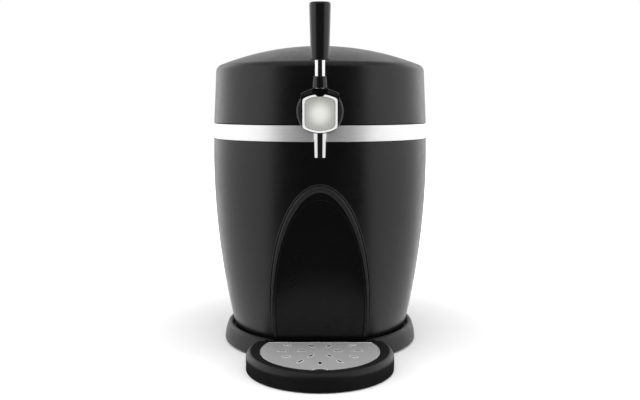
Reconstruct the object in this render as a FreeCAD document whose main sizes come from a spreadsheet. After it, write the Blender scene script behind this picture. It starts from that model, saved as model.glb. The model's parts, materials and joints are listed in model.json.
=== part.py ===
import FreeCAD, Part
import math
import os
import re
import Sketcher

# Mini keg beer dispenser, in millimetres.
# X runs to the right, Y to the back and Z up. The tap is at the front, towards -Y.
# The barrel's own axis is the vertical line that the sketches are drawn about. Every
# piece is then set back by SETBACK, so that the origin is the middle of the footprint.

# Driving sizes

BASE_SIZES = [
    ("foot_height", 1.5),
    ("foot_radius", 7),
    ("foot_ring_radius", 115),
    ("base_ring_radius", 125),
    ("base_ring_edge", 1),
    ("base_shoulder_radius", 121.5),
    ("base_shoulder_z", 19.5),
    ("base_crest_radius", 117),
    ("base_crest_z", 24),
    ("base_side_bow", 60),
    ("base_crest_bow", 6),
    ("base_gap_radius", 114.6),
    ("base_bore_radius", 98),
    ("body_seat_z", 16),
    ("base_plate_radius", 107),
    ("base_plate_thickness", 3),
    ("tongue_half_width", 50),
    ("tongue_front", 200),
    ("base_screw_ring_radius", 102.5),
    ("base_screw_radius", 1.6),
    ("base_screw_head_radius", 3.5),
    ("base_screw_head_height", 1.3),
    ("base_screw_length", 17),
]

TRAY_SIZES = [
    ("tray_center", 134.5),
    ("tray_radius", 86),
    ("tray_back", 100.5),
    ("tray_wall", 2.5),
    ("tray_floor_z", 4.8),
    ("tray_floor_thickness", 2),
    ("tray_shoulder_z", 15),
    ("tray_shoulder_bow", 7),
    ("tray_top_radius", 80.5),
    ("tray_top_z", 21.8),
    ("tray_lip_z", 20.6),
    ("tray_cup_radius", 66),
    ("grille_radius", 69.3),
    ("grille_top_z", 20),
    ("grille_thickness", 1.2),
    ("grille_back", 102.8),
    ("grille_notch_half_width", 11),
    ("grille_notch_depth", 6),
    ("slot_length", 11),
    ("slot_width", 4.2),
    ("slot_inner_ring", 21),
    ("slot_outer_ring", 44),
    ("slot_inner_count", 6),
    ("slot_outer_count", 12),
    ("tray_skirt_z", 1),
]

BODY_SIZES = [
    ("barrel_foot_radius", 110.5),
    ("barrel_rim_radius", 136),
    ("barrel_rim_z", 262),
    ("barrel_bow", 960),
    ("shell_wall", 3),
    ("shell_floor_bore", 96),
    ("collar_radius", 131.2),
    ("collar_wall", 3),
    ("collar_top_z", 281),
    ("deck_seat_z", 275),
    ("deck_seat_bore", 125.2),
    ("deck_thickness", 3),
    ("band_bottom_z", 262.4),
    ("band_top_z", 280.6),
    ("band_bottom_radius", 135.9),
    ("band_top_radius", 135.5),
    ("facet_back", 95),
    ("facet_level", 21.7),
    ("facet_lean", 12),
    ("recess_thickness", 3),
    ("well_radius", 88.5),
    ("well_wall", 1.2),
    ("well_floor_z", 44),
    ("well_flange_radius", 95),
    ("jacket_radius", 104),
    ("part_gap", 0.3),
]

REAR_SIZES = [
    ("housing_half_width", 82),
    ("housing_reach", 175),
    ("housing_bottom_z", 30),
    ("housing_top_z", 250),
    ("housing_wall", 2.5),
    ("housing_corner", 25),
    ("housing_edge", 5),
    ("window_half_width", 58),
    ("window_bottom_z", 68),
    ("window_top_z", 235),
    ("cooling_z", 152),
    ("cold_block_size", 50),
    ("peltier_size", 40),
    ("peltier_thickness", 4),
    ("cold_block_back", 103.3),
    ("sink_width", 100),
    ("sink_height", 96),
    ("sink_base_thickness", 6),
    ("sink_back", 139.7),
    ("fin_thickness", 2),
    ("fin_pitch", 8),
    ("fin_count", 13),
    ("fan_size", 92),
    ("fan_depth", 25),
    ("fan_duct_radius", 43.5),
    ("fan_blade_radius", 42),
    ("fan_hub_radius", 17),
    ("fan_mount_radius", 19),
    ("fan_mount_thickness", 3),
    ("fan_strut_width", 5),
    ("fan_hub_front", 3),
    ("fan_blade_count", 7),
    ("fan_blade_thickness", 1.8),
    ("fan_blade_lean", 9),
    ("fan_screw_offset", 41),
    ("fan_screw_side", 44),
    ("fan_screw_radius", 1.5),
    ("fan_screw_head_radius", 3),
    ("fan_screw_head_height", 2),
    ("fan_screw_length", 47),
    ("vent_half_width", 55),
    ("vent_bottom_z", 92),
    ("vent_top_z", 212),
    ("vent_flange", 3),
    ("vent_slot_half_width", 47),
    ("vent_slot_height", 4.5),
    ("vent_slot_pitch", 9),
    ("vent_slot_count", 12),
    ("board_half_width", 45),
    ("board_front", 124),
    ("board_back", 164),
    ("board_z", 40),
    ("board_thickness", 1.6),
    ("board_post_radius", 3),
    ("board_margin", 8),
    ("relay_width", 18),
    ("relay_depth", 14),
    ("relay_height", 12),
    ("plug_width", 10),
    ("plug_depth", 8),
    ("plug_height", 8),
    ("can_radius", 4.5),
    ("can_height", 12),
    ("can_pitch", 12),
    ("panel_z", 66),
    ("inlet_x", 42),
    ("inlet_half_width", 13.5),
    ("inlet_half_height", 9.8),
    ("inlet_depth", 20),
    ("socket_half_width", 10.5),
    ("socket_half_height", 6.8),
    ("socket_depth", 13),
    ("inlet_pin_pitch", 6),
    ("inlet_pin_rise", 1.5),
    ("inlet_pin_half_width", 1),
    ("inlet_pin_half_height", 2),
    ("inlet_pin_depth", 6),
    ("switch_x", 42),
    ("switch_half_width", 10.5),
    ("switch_half_height", 7.2),
    ("switch_depth", 18),
    ("bezel_rim", 1.2),
    ("rocker_half_width", 8),
    ("rocker_half_height", 5),
    ("rocker_foot", 3),
    ("rocker_dish", 1.6),
    ("rocker_radius", 8),
    ("rocker_pin_radius", 1.2),
    ("rocker_tilt", 8),
    ("clip_flange", 2),
]

LID_SIZES = [
    ("lid_foot_radius", 135.4),
    ("lid_foot_z", 281.7),
    ("lid_shoulder_radius", 131.6),
    ("lid_shoulder_z", 351.2),
    ("lid_dome_bow", 340),
    ("lid_corner", 9),
    ("lid_wall", 2.5),
    ("lid_foam_depth", 12),
    ("liner_wall", 1.5),
    ("liner_flange_z", 283.7),
    ("liner_flange_radius", 131.5),
    ("liner_flange_thickness", 1.5),
    ("gasket_inner_radius", 121.5),
    ("gasket_outer_radius", 127.2),
    ("notch_half_width", 21.5),
    ("hinge_back", 144),
    ("hinge_z", 286),
    ("hinge_pin_radius", 2),
    ("hinge_pin_half_length", 30),
    ("knuckle_radius", 6),
    ("knuckle_half_width", 14.5),
    ("ear_inner", 15),
    ("ear_outer", 29),
    ("hinge_front", 138.2),
    ("hinge_foot_back", 152),
    ("hinge_foot_thickness", 8),
    ("hinge_arm_top_z", 309),
    ("running_gap", 0.05),
]

TAP_SIZES = [
    ("tap_z", 296.5),
    ("saddle_front", 136),
    ("saddle_back", 124.9),
    ("saddle_half_width", 20),
    ("saddle_foot_back", 112),
    ("saddle_foot_thickness", 5),
    ("disc_radius", 26.5),
    ("disc_front", 141.4),
    ("disc_edge", 1.5),
    ("disc_drop", 20.2),
    ("shank_radius", 8),
    ("shank_bore", 3.5),
    ("shank_front", 145),
    ("shank_back", 112),
    ("nut_half_width", 13),
    ("nut_thickness", 6),
    ("elbow_radius", 6),
    ("elbow_back", 102),
    ("hose_ring_radius", 108),
    ("hose_radius", 4),
    ("hose_bore", 2.5),
    ("hose_start", 83),
    ("hose_end", 31),
    ("keg_coupler_angle", 25),
    ("keg_coupler_radius", 10),
    ("keg_coupler_height", 30),
    ("keg_coupler_neck", 8),
    ("keg_coupler_neck_radius", 7),
    ("dock_height", 5),
    ("dock_wall", 2),
    ("clip_angle", 58),
    ("clip_half_width", 3),
    ("tap_half_width", 18.5),
    ("tap_front", 171),
    ("tap_bottom_z", 275.3),
    ("tap_chin", 3.5),
    ("tap_heel", 2),
    ("tap_flank_drop", 10),
    ("tap_slot_front", 168),
    ("tap_slot_back", 151.5),
    ("pivot_front", 158),
    ("pivot_z", 300.5),
    ("pivot_radius", 2.5),
    ("pivot_inner", 10),
    ("pivot_outer", 20.6),
    ("tap_crown", 11.6),
    ("hood_inner", 12),
    ("hood_outer", 21),
    ("hood_half_width", 20.9),
    ("hood_start_angle", 45),
    ("hood_end_angle", 100),
    ("hood_arch_bow", 37.6),
    ("hood_boss_radius", 9.2),
    ("cheek_wall", 2),
    ("cheek_radius", 8),
    ("cheek_angle", 10),
    ("chamber_z", 291),
    ("chamber_radius", 5.5),
    ("plunger_radius", 3.6),
    ("plunger_waist", 1.6),
    ("plunger_waist_length", 5.2),
    ("plunger_front", 166),
    ("plunger_travel", 3),
    ("cam_half_width", 2.5),
    ("cam_thickness", 3),
    ("cam_tip_z", 293),
    ("spring_radius", 3.9),
    ("spring_wire", 0.5),
    ("spring_fold", 1.2),
    ("spring_folds", 2),
    ("spring_length", 4.2),
    ("spout_front", 161),
    ("spout_tip_z", 246.6),
    ("spout_top_radius", 7.1),
    ("spout_tip_radius", 6.4),
    ("spout_bore", 4.5),
    ("plate_half_width", 18.8),
    ("plate_top", 18.5),
    ("plate_low", 22.6),
    ("plate_top_bow", 37.9),
    ("plate_low_bow", 35.6),
    ("plate_corner", 3.6),
    ("plate_thickness", 4),
    ("plate_frame", 2.3),
    ("plate_panel_thickness", 2.6),
    ("plate_panel_corner", 6.5),
    ("plate_backing", 2.5),
    ("plate_backing_drop", 1.3),
    ("plate_notch_radius", 6.5),
    ("plate_notch_rise", 3.6),
    ("lever_lean", 3),
    ("collar_low_radius", 8.5),
    ("collar_high_radius", 7.5),
    ("collar_low", 21.8),
    ("collar_high", 34.4),
    ("stem_radius", 5.8),
    ("stem_low", 21.4),
    ("stem_top", 62),
    ("grip_low", 51.4),
    ("grip_top", 112.6),
    ("grip_low_radius", 10.1),
    ("grip_top_radius", 11.6),
    ("grip_edge", 2.5),
    ("grip_chamfer", 1),
    ("grip_crown", 0.4),
]

doc = FreeCAD.newDocument("MiniKegDispenser")
sheet = doc.addObject("Spreadsheet::Sheet", "Sizes")
ALL_SIZES = BASE_SIZES + TRAY_SIZES + BODY_SIZES + REAR_SIZES + LID_SIZES + TAP_SIZES
for row, (alias, number) in enumerate(ALL_SIZES, start=1):
    cell = "A%d" % row
    sheet.set(cell, str(number))
    sheet.setAlias(cell, alias)
doc.recompute()

ALIASES = {alias for alias, number in ALL_SIZES}
WORD = re.compile(r"[a-z][a-z_]*")
SETBACK = "(tray_center + tray_radius - housing_reach) / 2"
PIECES = []


# Formulas

def bound(formula):
    """The formula with each size's name written as a cell of the sheet."""
    def cell_of(match):
        word = match.group()
        return "Sizes." + word if word in ALIASES else word
    return WORD.sub(cell_of, str(formula))


def value(formula):
    """The number that a formula gives now."""
    found = sheet.evalExpression(str(formula))
    return float(getattr(found, "Value", found))


def neg(formula):
    return "-(%s)" % formula


def plus(*formulas):
    return " + ".join("(%s)" % formula for formula in formulas)


def minus(first, second):
    return "(%s) - (%s)" % (first, second)


# Sketches

def plane_of(body, role):
    return next(item for item in body.Origin.OriginFeatures if item.Role == role)


def new_body(label, at=("0", "0", "0"), turn="0"):
    """A body set at a point from the barrel's axis, turned about X by an angle."""
    body = doc.addObject("PartDesign::Body", label)
    body.Label = label
    body.Placement = FreeCAD.Placement(FreeCAD.Vector(),
                                       FreeCAD.Rotation(FreeCAD.Vector(1, 0, 0), value(turn)))
    body.setExpression("Placement.Base.x", bound(at[0]))
    body.setExpression("Placement.Base.y", bound(plus(at[1], SETBACK)))
    body.setExpression("Placement.Base.z", bound(at[2]))
    body.setExpression("Placement.Rotation.Angle", bound(turn))
    return body


def new_sketch(body, role, offset="0"):
    """An empty sketch on one of the body's own planes, raised along its normal."""
    sketch = body.newObject("Sketcher::SketchObject", body.Name + "_sketch")
    sketch.AttachmentSupport = [(plane_of(body, role), "")]
    sketch.MapMode = "FlatFace"
    sketch.setExpression("AttachmentOffset.Base.z", bound(offset))
    return sketch


def pin_point(sketch, geometry, end, x, y):
    """Hold one end of a geometry at a point given by two formulas."""
    for kind, formula in (("DistanceX", x), ("DistanceY", y)):
        rule = Sketcher.Constraint(kind, -1, 1, geometry, end, value(formula))
        index = sketch.addConstraint(rule)
        sketch.setExpression("Constraints[%d]" % index, bound(formula))


def arc_between(first, last, bow):
    """The arc of radius bow between two points, and which of its ends is the first.

    A positive bow swells to the right of the way from first to last, a negative one to the left.
    """
    (ax, ay), (bx, by) = first, last
    chord = math.hypot(bx - ax, by - ay)
    radius = abs(bow)
    reach = math.sqrt(radius ** 2 - (chord / 2) ** 2)
    side = 1 if bow > 0 else -1
    cx = (ax + bx) / 2 - side * reach * (by - ay) / chord
    cy = (ay + by) / 2 + side * reach * (bx - ax) / chord
    circle = Part.Circle(FreeCAD.Vector(cx, cy, 0), FreeCAD.Vector(0, 0, 1), radius)
    angles = [math.atan2(y - cy, x - cx) for x, y in (first, last)]
    if side < 0:
        angles.reverse()
    if angles[1] < angles[0]:
        angles[1] += 2 * math.pi
    return Part.ArcOfCircle(circle, *angles), side > 0


def outline(sketch, corners, bows=None):
    """A closed outline through corners; bows gives the arc that starts at a corner's number."""
    bows = bows or {}
    points = [(value(x), value(y)) for x, y in corners]
    edges = []
    for index, corner in enumerate(corners):
        first, last = points[index], points[(index + 1) % len(points)]
        if index in bows:
            arc, forward = arc_between(first, last, value(bows[index]))
            geometry = sketch.addGeometry(arc)
            edges.append((geometry, 1, 2) if forward else (geometry, 2, 1))
        else:
            line = Part.LineSegment(FreeCAD.Vector(*first, 0), FreeCAD.Vector(*last, 0))
            edges.append((sketch.addGeometry(line), 1, 2))
    for index, (geometry, start, end) in enumerate(edges):
        following = edges[(index + 1) % len(edges)]
        sketch.addConstraint(Sketcher.Constraint("Coincident", geometry, end, following[0], following[1]))
        pin_point(sketch, geometry, start, *corners[index])
        if index in bows:
            radius = "abs(%s)" % bows[index]
            rule = sketch.addConstraint(Sketcher.Constraint("Radius", geometry, value(radius)))
            sketch.setExpression("Constraints[%d]" % rule, bound(radius))
    return sketch


def rectangle(sketch, left, low, right, high):
    return outline(sketch, [(left, low), (right, low), (right, high), (left, high)])


def circle(sketch, x, y, radius):
    shape = Part.Circle(FreeCAD.Vector(value(x), value(y), 0), FreeCAD.Vector(0, 0, 1), value(radius))
    geometry = sketch.addGeometry(shape)
    pin_point(sketch, geometry, 3, x, y)
    rule = sketch.addConstraint(Sketcher.Constraint("Radius", geometry, value(radius)))
    sketch.setExpression("Constraints[%d]" % rule, bound(radius))
    return sketch


# Features

def feature(body, kind, sketch):
    made = body.newObject("PartDesign::" + kind, body.Name + "_" + kind.lower())
    made.Profile = sketch
    return made


def turned(body, kind, sketch, angle="360"):
    """A Revolution or Groove about the sketch's upright axis."""
    made = feature(body, kind, sketch)
    made.ReferenceAxis = (sketch, ["V_Axis"])
    made.setExpression("Angle", bound(angle))
    return made


def pad(body, sketch, length, reverse=False, both=False):
    made = feature(body, "Pad", sketch)
    made.setExpression("Length", bound(length))
    made.Reversed = reverse
    made.SideType = "Symmetric" if both else "One side"
    return made


def pocket(body, sketch, length, reverse=False, both=False):
    """A cut; it stops the build if it takes nothing away."""
    doc.recompute()
    before = body.Shape.Volume
    made = feature(body, "Pocket", sketch)
    made.setExpression("Length", bound(length))
    made.Reversed = reverse
    made.SideType = "Symmetric" if both else "One side"
    doc.recompute()
    if body.Shape.Volume > before * (1 - 1e-7):
        raise RuntimeError("%s cuts nothing" % made.Name)
    return made


def groove(body, sketch):
    doc.recompute()
    before = body.Shape.Volume
    made = turned(body, "Groove", sketch)
    doc.recompute()
    if body.Shape.Volume > before * (1 - 1e-7):
        raise RuntimeError("%s cuts nothing" % made.Name)
    return made


def around(body, original, count, role="Z_Axis"):
    """Repeat a feature evenly round an axis of the body."""
    made = body.newObject("PartDesign::PolarPattern", body.Name + "_ring")
    made.Originals = [original]
    made.Axis = (plane_of(body, role), [""])
    made.Angle = 360
    made.setExpression("Occurrences", bound(count))
    body.Tip = made
    return made


def in_line(body, original, role, span, count, reverse=False):
    """Repeat a feature evenly along an axis of the body."""
    made = body.newObject("PartDesign::LinearPattern", body.Name + "_line")
    made.Originals = [original]
    made.Direction = (plane_of(body, role), [""])
    made.Reversed = reverse
    made.setExpression("Length", bound(span))
    made.setExpression("Occurrences", bound(count))
    body.Tip = made
    return made


def rounded(body, radius, wanted):
    """Round the edges of the body's last feature that the test picks."""
    doc.recompute()
    base = body.Tip
    names = ["Edge%d" % number for number, edge in enumerate(base.Shape.Edges, start=1) if wanted(edge)]
    made = body.newObject("PartDesign::Fillet", body.Name + "_fillet")
    made.Base = (base, names)
    made.setExpression("Radius", bound(radius))
    return made


# Plain solids

AXES = {
    "X": FreeCAD.Rotation(FreeCAD.Vector(0, 1, 0), 90),
    "Y": FreeCAD.Rotation(FreeCAD.Vector(1, 0, 0), -90),
    "Z": FreeCAD.Rotation(),
}


def place(solid, x, y, z):
    solid.setExpression("Placement.Base.x", bound(x))
    solid.setExpression("Placement.Base.y", bound(plus(y, SETBACK)))
    solid.setExpression("Placement.Base.z", bound(z))
    return solid


def rod(x, y, z, radius, length, axis="Z"):
    solid = doc.addObject("Part::Cylinder", "rod")
    solid.Placement = FreeCAD.Placement(FreeCAD.Vector(), AXES[axis])
    solid.setExpression("Radius", bound(radius))
    solid.setExpression("Height", bound(length))
    return place(solid, x, y, z)


def block(low, high):
    """A box between two corners."""
    solid = doc.addObject("Part::Box", "block")
    for side, first, last in zip(("Length", "Width", "Height"), low, high):
        solid.setExpression(side, bound(minus(last, first)))
    return place(solid, *low)


def fused(label, *solids):
    made = doc.addObject("Part::MultiFuse", label)
    made.Shapes = list(solids)
    return made


def cut(label, base, *tools):
    made = doc.addObject("Part::Cut", label)
    made.Base = base
    made.Tool = tools[0] if len(tools) == 1 else fused(label + "_tool", *tools)
    return made


def group(label, *solids):
    made = doc.addObject("Part::Compound", label)
    made.Links = list(solids)
    return made


def keep(piece, label):
    """Count an object among the pieces, under the name of its node."""
    piece.Label = label
    PIECES.append(piece)
    return piece


# Places shared by several pieces

BASE_PLATE_TOP = "foot_height + base_plate_thickness"
SHELL_FLOOR_TOP = "body_seat_z + shell_wall"
DECK_TOP = "deck_seat_z + deck_thickness"
CLEAR = "part_gap"


def facet_y(z, back="0"):
    """Where the leaning front facet is at a height, moved back by a distance."""
    return "-(facet_back + tan(facet_lean * 1 deg) * ((%s) - facet_level)) + (%s)" % (z, back)


def cut_front_facet(body, back="0"):
    """Cut away what stands in front of the leaning facet."""
    sketch = new_sketch(body, "YZ_Plane")
    low, high = "0", "barrel_rim_z"
    front = neg("base_ring_radius + tray_radius")
    outline(sketch, [(front, low), (facet_y(low, back), low), (facet_y(high, back), high), (front, high)])
    pocket(body, sketch, "2 * base_ring_radius", both=True)


def barrel_outline(sketch, grow, low, high):
    """Solid barrel profile, its wall moved out by a distance."""
    corners = [
        ("0", low), (plus("barrel_foot_radius", grow), low),
        (plus("barrel_rim_radius", grow), high), ("0", high),
    ]
    return outline(sketch, corners, {1: "barrel_bow"})


# Base

def make_base_ring():
    body = new_body("base_ring")
    corners = [
        ("base_bore_radius", BASE_PLATE_TOP),
        ("base_plate_radius + part_gap", BASE_PLATE_TOP),
        ("base_plate_radius + part_gap", "foot_height"),
        ("base_ring_radius - base_ring_edge", "foot_height"),
        ("base_ring_radius", "foot_height + base_ring_edge"),
        ("base_shoulder_radius", "base_shoulder_z"),
        ("base_crest_radius", "base_crest_z"),
        ("base_gap_radius", "base_crest_z - 1.5 * base_ring_edge"),
        ("base_gap_radius", "body_seat_z"),
        ("base_bore_radius", "body_seat_z"),
    ]
    profile = outline(new_sketch(body, "XZ_Plane"), corners, {4: "base_side_bow", 5: "base_crest_bow"})
    turned(body, "Revolution", profile)
    front = new_sketch(body, "XY_Plane")
    rectangle(front, neg("base_ring_radius"), neg("2 * base_ring_radius"), "base_ring_radius",
              "-tray_back + part_gap")
    pocket(body, front, "4 * base_crest_z", both=True)
    tongue = new_sketch(body, "XY_Plane")
    rectangle(tongue, "-tongue_half_width - part_gap", neg("base_ring_radius"),
              "tongue_half_width + part_gap",
              neg("well_radius"))
    pocket(body, tongue, BASE_PLATE_TOP, reverse=True)
    holes = new_sketch(body, "XY_Plane")
    for x, y in base_screw_places():
        circle(holes, x, y, "base_screw_radius + part_gap")
    pocket(body, holes, "4 * base_crest_z", both=True)
    keep(body, "base_ring")


def base_screw_places():
    """Four screws, clear of the cut at the front."""
    for across in (1, -1):
        for along in (1, -1):
            x = "%d * base_screw_ring_radius * cos(30 deg)" % across
            y = "%d * base_screw_ring_radius * sin(30 deg)" % along
            yield x, y


def make_base_plate():
    body = new_body("base_plate")
    pad(body, circle(new_sketch(body, "XY_Plane", "foot_height"), "0", "0", "base_plate_radius"),
        "base_plate_thickness")
    tongue = new_sketch(body, "XY_Plane", "foot_height")
    rectangle(tongue, neg("tongue_half_width"), neg("tongue_front"), "tongue_half_width",
              neg("well_radius"))
    pad(body, tongue, "base_plate_thickness")
    holes = new_sketch(body, "XY_Plane")
    for x, y in base_screw_places():
        circle(holes, x, y, "base_screw_radius + part_gap")
    pocket(body, holes, "4 * base_plate_thickness", both=True)
    seats = new_sketch(body, "XY_Plane", "foot_height")
    for x, y in base_screw_places():
        circle(seats, x, y, "base_screw_head_radius + part_gap")
    pocket(body, seats, "base_screw_head_height + part_gap", reverse=True)
    keep(body, "base_plate")


def make_base_screws():
    screws = []
    for number, (x, y) in enumerate(base_screw_places(), start=1):
        head = rod(x, y, "foot_height + part_gap", "base_screw_head_radius", "base_screw_head_height")
        shank = rod(x, y, "foot_height + part_gap", "base_screw_radius", "base_screw_length")
        screws.append(fused("base_screw_%d" % number, head, shank))
    keep(group("base_screws", *screws), "base_screws")


def make_rubber_feet():
    pads = []
    for across in (1, -1):
        for along in (1, -1):
            x = "%d * foot_ring_radius * cos(45 deg)" % across
            y = "%d * foot_ring_radius * sin(45 deg)" % along
            pads.append(rod(x, y, "0", "foot_radius", "foot_height"))
        x = "%d * (tongue_half_width - 2 * foot_radius)" % across
        pads.append(rod(x, "-tongue_front + 2 * foot_radius", "0", "foot_radius", "foot_height"))
    keep(group("rubber_feet", *pads), "rubber_feet")


# Drip tray

def lobe(sketch, radius, back):
    """A disc round the tray's centre, cut straight at the back."""
    reach = "tray_center - (%s)" % back
    half = "sqrt((%s)^2 - (%s)^2)" % (radius, reach)
    front = "-(tray_center + (%s))" % radius
    corners = [
        (half, neg(back)), (neg(half), neg(back)), (neg(radius), "-tray_center"),
        ("0", front), (radius, "-tray_center"),
    ]
    return outline(sketch, corners, {1: radius, 2: radius, 3: radius, 4: radius})


def make_drip_tray():
    body = new_body("drip_tray", at=("0", "-tray_center", "0"))
    corners = [
        ("0", "tray_skirt_z"),
        ("tray_radius", "tray_skirt_z"),
        ("tray_radius", "tray_shoulder_z"),
        ("tray_top_radius", "tray_top_z"),
        ("grille_radius + 2 * part_gap", "tray_lip_z"),
        ("grille_radius + 2 * part_gap", "grille_top_z - grille_thickness"),
        ("tray_cup_radius", "grille_top_z - grille_thickness"),
        ("tray_cup_radius", "tray_floor_z + tray_floor_thickness"),
        ("0", "tray_floor_z + tray_floor_thickness"),
    ]
    turned(body, "Revolution", outline(new_sketch(body, "XZ_Plane"), corners, {2: "tray_shoulder_bow"}))
    keep(body, "drip_tray")
    # the back is closed by a straight wall as high as the rim
    back = new_sketch(body, "XY_Plane", "tray_floor_z")
    inner = "tray_center - tray_back"
    wall_front = "tray_center - grille_back + part_gap"
    half = "sqrt(tray_cup_radius^2 - (%s)^2) + tray_wall" % wall_front
    rectangle(back, neg(half), wall_front, half, inner)
    pad(body, back, "tray_lip_z - tray_floor_z")
    behind = new_sketch(body, "XY_Plane")
    rectangle(behind, "-2 * tray_radius", inner, "2 * tray_radius", "2 * tray_radius")
    pocket(body, behind, "4 * tray_top_z", both=True)
    hollow = new_sketch(body, "XY_Plane")
    skirt = "tray_radius - tray_wall"
    reach = "sqrt((%s)^2 - (%s)^2)" % (skirt, inner)
    corners = [(reach, inner), (neg(reach), inner), (neg(skirt), "0"), ("0", neg(skirt)), (skirt, "0")]
    outline(hollow, corners, {1: skirt, 2: skirt, 3: skirt, 4: skirt})
    pocket(body, hollow, "tray_floor_z", reverse=True)


def make_drip_grille():
    body = new_body("drip_grille", at=("0", "-tray_center", "0"))
    level = "grille_top_z - grille_thickness"
    back = "tray_center - grille_back"
    half = "sqrt(grille_radius^2 - (%s)^2)" % back
    corners = [(half, back), (neg(half), back), (neg("grille_radius"), "0"),
               ("0", neg("grille_radius")), ("grille_radius", "0")]
    bow = "grille_radius"
    sheet_outline = outline(new_sketch(body, "XY_Plane", level), corners, {1: bow, 2: bow, 3: bow, 4: bow})
    pad(body, sheet_outline, "grille_thickness")
    for ring, count in (("slot_inner_ring", "slot_inner_count"), ("slot_outer_ring", "slot_outer_count")):
        slot = new_sketch(body, "XY_Plane")
        near = minus(ring, "slot_length / 2 - slot_width / 2")
        far = plus(ring, "slot_length / 2 - slot_width / 2")
        side = "slot_width / 2"
        ends = [(near, neg(side)), (far, neg(side)), (far, side), (near, side)]
        outline(slot, ends, {1: "slot_width / 2 * 1.001", 3: "slot_width / 2 * 1.001"})
        around(body, pocket(body, slot, "4 * grille_top_z", both=True), count)
    notch = new_sketch(body, "XY_Plane")
    circle(notch, "0", "-(grille_radius - grille_notch_depth) - grille_notch_half_width",
           "grille_notch_half_width")
    pocket(body, notch, "4 * grille_top_z", both=True)
    keep(body, "drip_grille")


# Body

def make_body_shell():
    body = new_body("body_shell")
    inner_top = "barrel_rim_radius - shell_wall - part_gap"
    corners = [
        ("shell_floor_bore", "body_seat_z"),
        ("barrel_foot_radius", "body_seat_z"),
        ("barrel_rim_radius", "barrel_rim_z"),
        ("collar_radius", "barrel_rim_z"),
        ("collar_radius", "collar_top_z"),
        ("collar_radius - collar_wall", "collar_top_z"),
        ("collar_radius - collar_wall", "deck_seat_z"),
        ("deck_seat_bore", "deck_seat_z"),
        ("deck_seat_bore", "deck_seat_z - shell_wall"),
        (inner_top, "barrel_rim_z - shell_wall"),
        ("barrel_foot_radius - shell_wall", SHELL_FLOOR_TOP),
        ("shell_floor_bore", SHELL_FLOOR_TOP),
    ]
    bows = {1: "barrel_bow", 9: "-barrel_bow"}
    turned(body, "Revolution", outline(new_sketch(body, "XZ_Plane"), corners, bows))
    cut_front_facet(body)
    window = new_sketch(body, "XZ_Plane")
    rectangle(window, neg("window_half_width"), "window_bottom_z", "window_half_width", "window_top_z")
    pocket(body, window, "2 * barrel_rim_radius")
    holes = new_sketch(body, "XY_Plane")
    for x, y in base_screw_places():
        circle(holes, x, y, "base_screw_radius + part_gap")
    pocket(body, holes, "4 * base_crest_z", both=True)
    keep(body, "body_shell")


def make_recess_panel():
    body = new_body("recess_panel")
    grow = "-(shell_wall + 2 * part_gap)"
    profile = barrel_outline(new_sketch(body, "XZ_Plane"), grow, plus(SHELL_FLOOR_TOP, CLEAR),
                             "barrel_rim_z - shell_wall")
    turned(body, "Revolution", profile)
    cut_front_facet(body, "part_gap")
    rear = new_sketch(body, "YZ_Plane")
    low, high = "0", "barrel_rim_z"
    back = "recess_thickness + part_gap"
    corners = [(facet_y(low, back), low), ("2 * base_ring_radius", low), ("2 * base_ring_radius", high),
               (facet_y(high, back), high)]
    outline(rear, corners)
    pocket(body, rear, "4 * base_ring_radius", both=True)
    keep(body, "recess_panel")


def make_trim_band():
    body = new_body("trim_band")
    corners = [
        ("collar_radius + part_gap", "band_bottom_z"),
        ("band_bottom_radius", "band_bottom_z"),
        ("band_top_radius", "band_top_z"),
        ("collar_radius + part_gap", "band_top_z"),
    ]
    turned(body, "Revolution", outline(new_sketch(body, "XZ_Plane"), corners, {1: "barrel_bow"}))
    keep(body, "trim_band")


def make_top_deck():
    body = new_body("top_deck")
    bore = "well_radius + well_wall + 2 * part_gap"
    corners = [
        (bore, "deck_seat_z - deck_thickness"),
        (plus(bore, "deck_thickness"), "deck_seat_z - deck_thickness"),
        (plus(bore, "deck_thickness"), "deck_seat_z"),
        ("collar_radius - collar_wall - part_gap", "deck_seat_z"),
        ("collar_radius - collar_wall - part_gap", DECK_TOP),
        (bore, DECK_TOP),
    ]
    turned(body, "Revolution", outline(new_sketch(body, "XZ_Plane"), corners))
    keep(body, "top_deck")


def make_well_liner():
    body = new_body("well_liner")
    outer = "well_radius + well_wall"
    corners = [
        ("0", "well_floor_z - well_wall"), (outer, "well_floor_z - well_wall"), (outer, DECK_TOP),
        ("well_flange_radius", DECK_TOP), ("well_flange_radius", plus(DECK_TOP, "well_wall")),
        ("well_radius", plus(DECK_TOP, "well_wall")), ("well_radius", "well_floor_z"),
        ("0", "well_floor_z"),
    ]
    turned(body, "Revolution", outline(new_sketch(body, "XZ_Plane"), corners))
    keep(body, "well_liner")


def make_insulation_jacket():
    body = new_body("insulation_jacket")
    inner = "well_radius + well_wall + part_gap"
    low = plus(SHELL_FLOOR_TOP, CLEAR)
    high = "deck_seat_z - deck_thickness - part_gap"
    floor = "well_floor_z - well_wall - part_gap"
    corners = [("0", low), ("jacket_radius", low), ("jacket_radius", high), (inner, high), (inner, floor),
               ("0", floor)]
    turned(body, "Revolution", outline(new_sketch(body, "XZ_Plane"), corners))
    cut_front_facet(body, "recess_thickness + 2 * part_gap")
    window = new_sketch(body, "XZ_Plane")
    half = "cold_block_size / 2 + part_gap"
    rectangle(window, neg(half), minus("cooling_z", half), half, plus("cooling_z", half))
    pocket(body, window, "2 * jacket_radius")
    keep(body, "insulation_jacket")


# Cooling unit and rear housing

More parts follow.
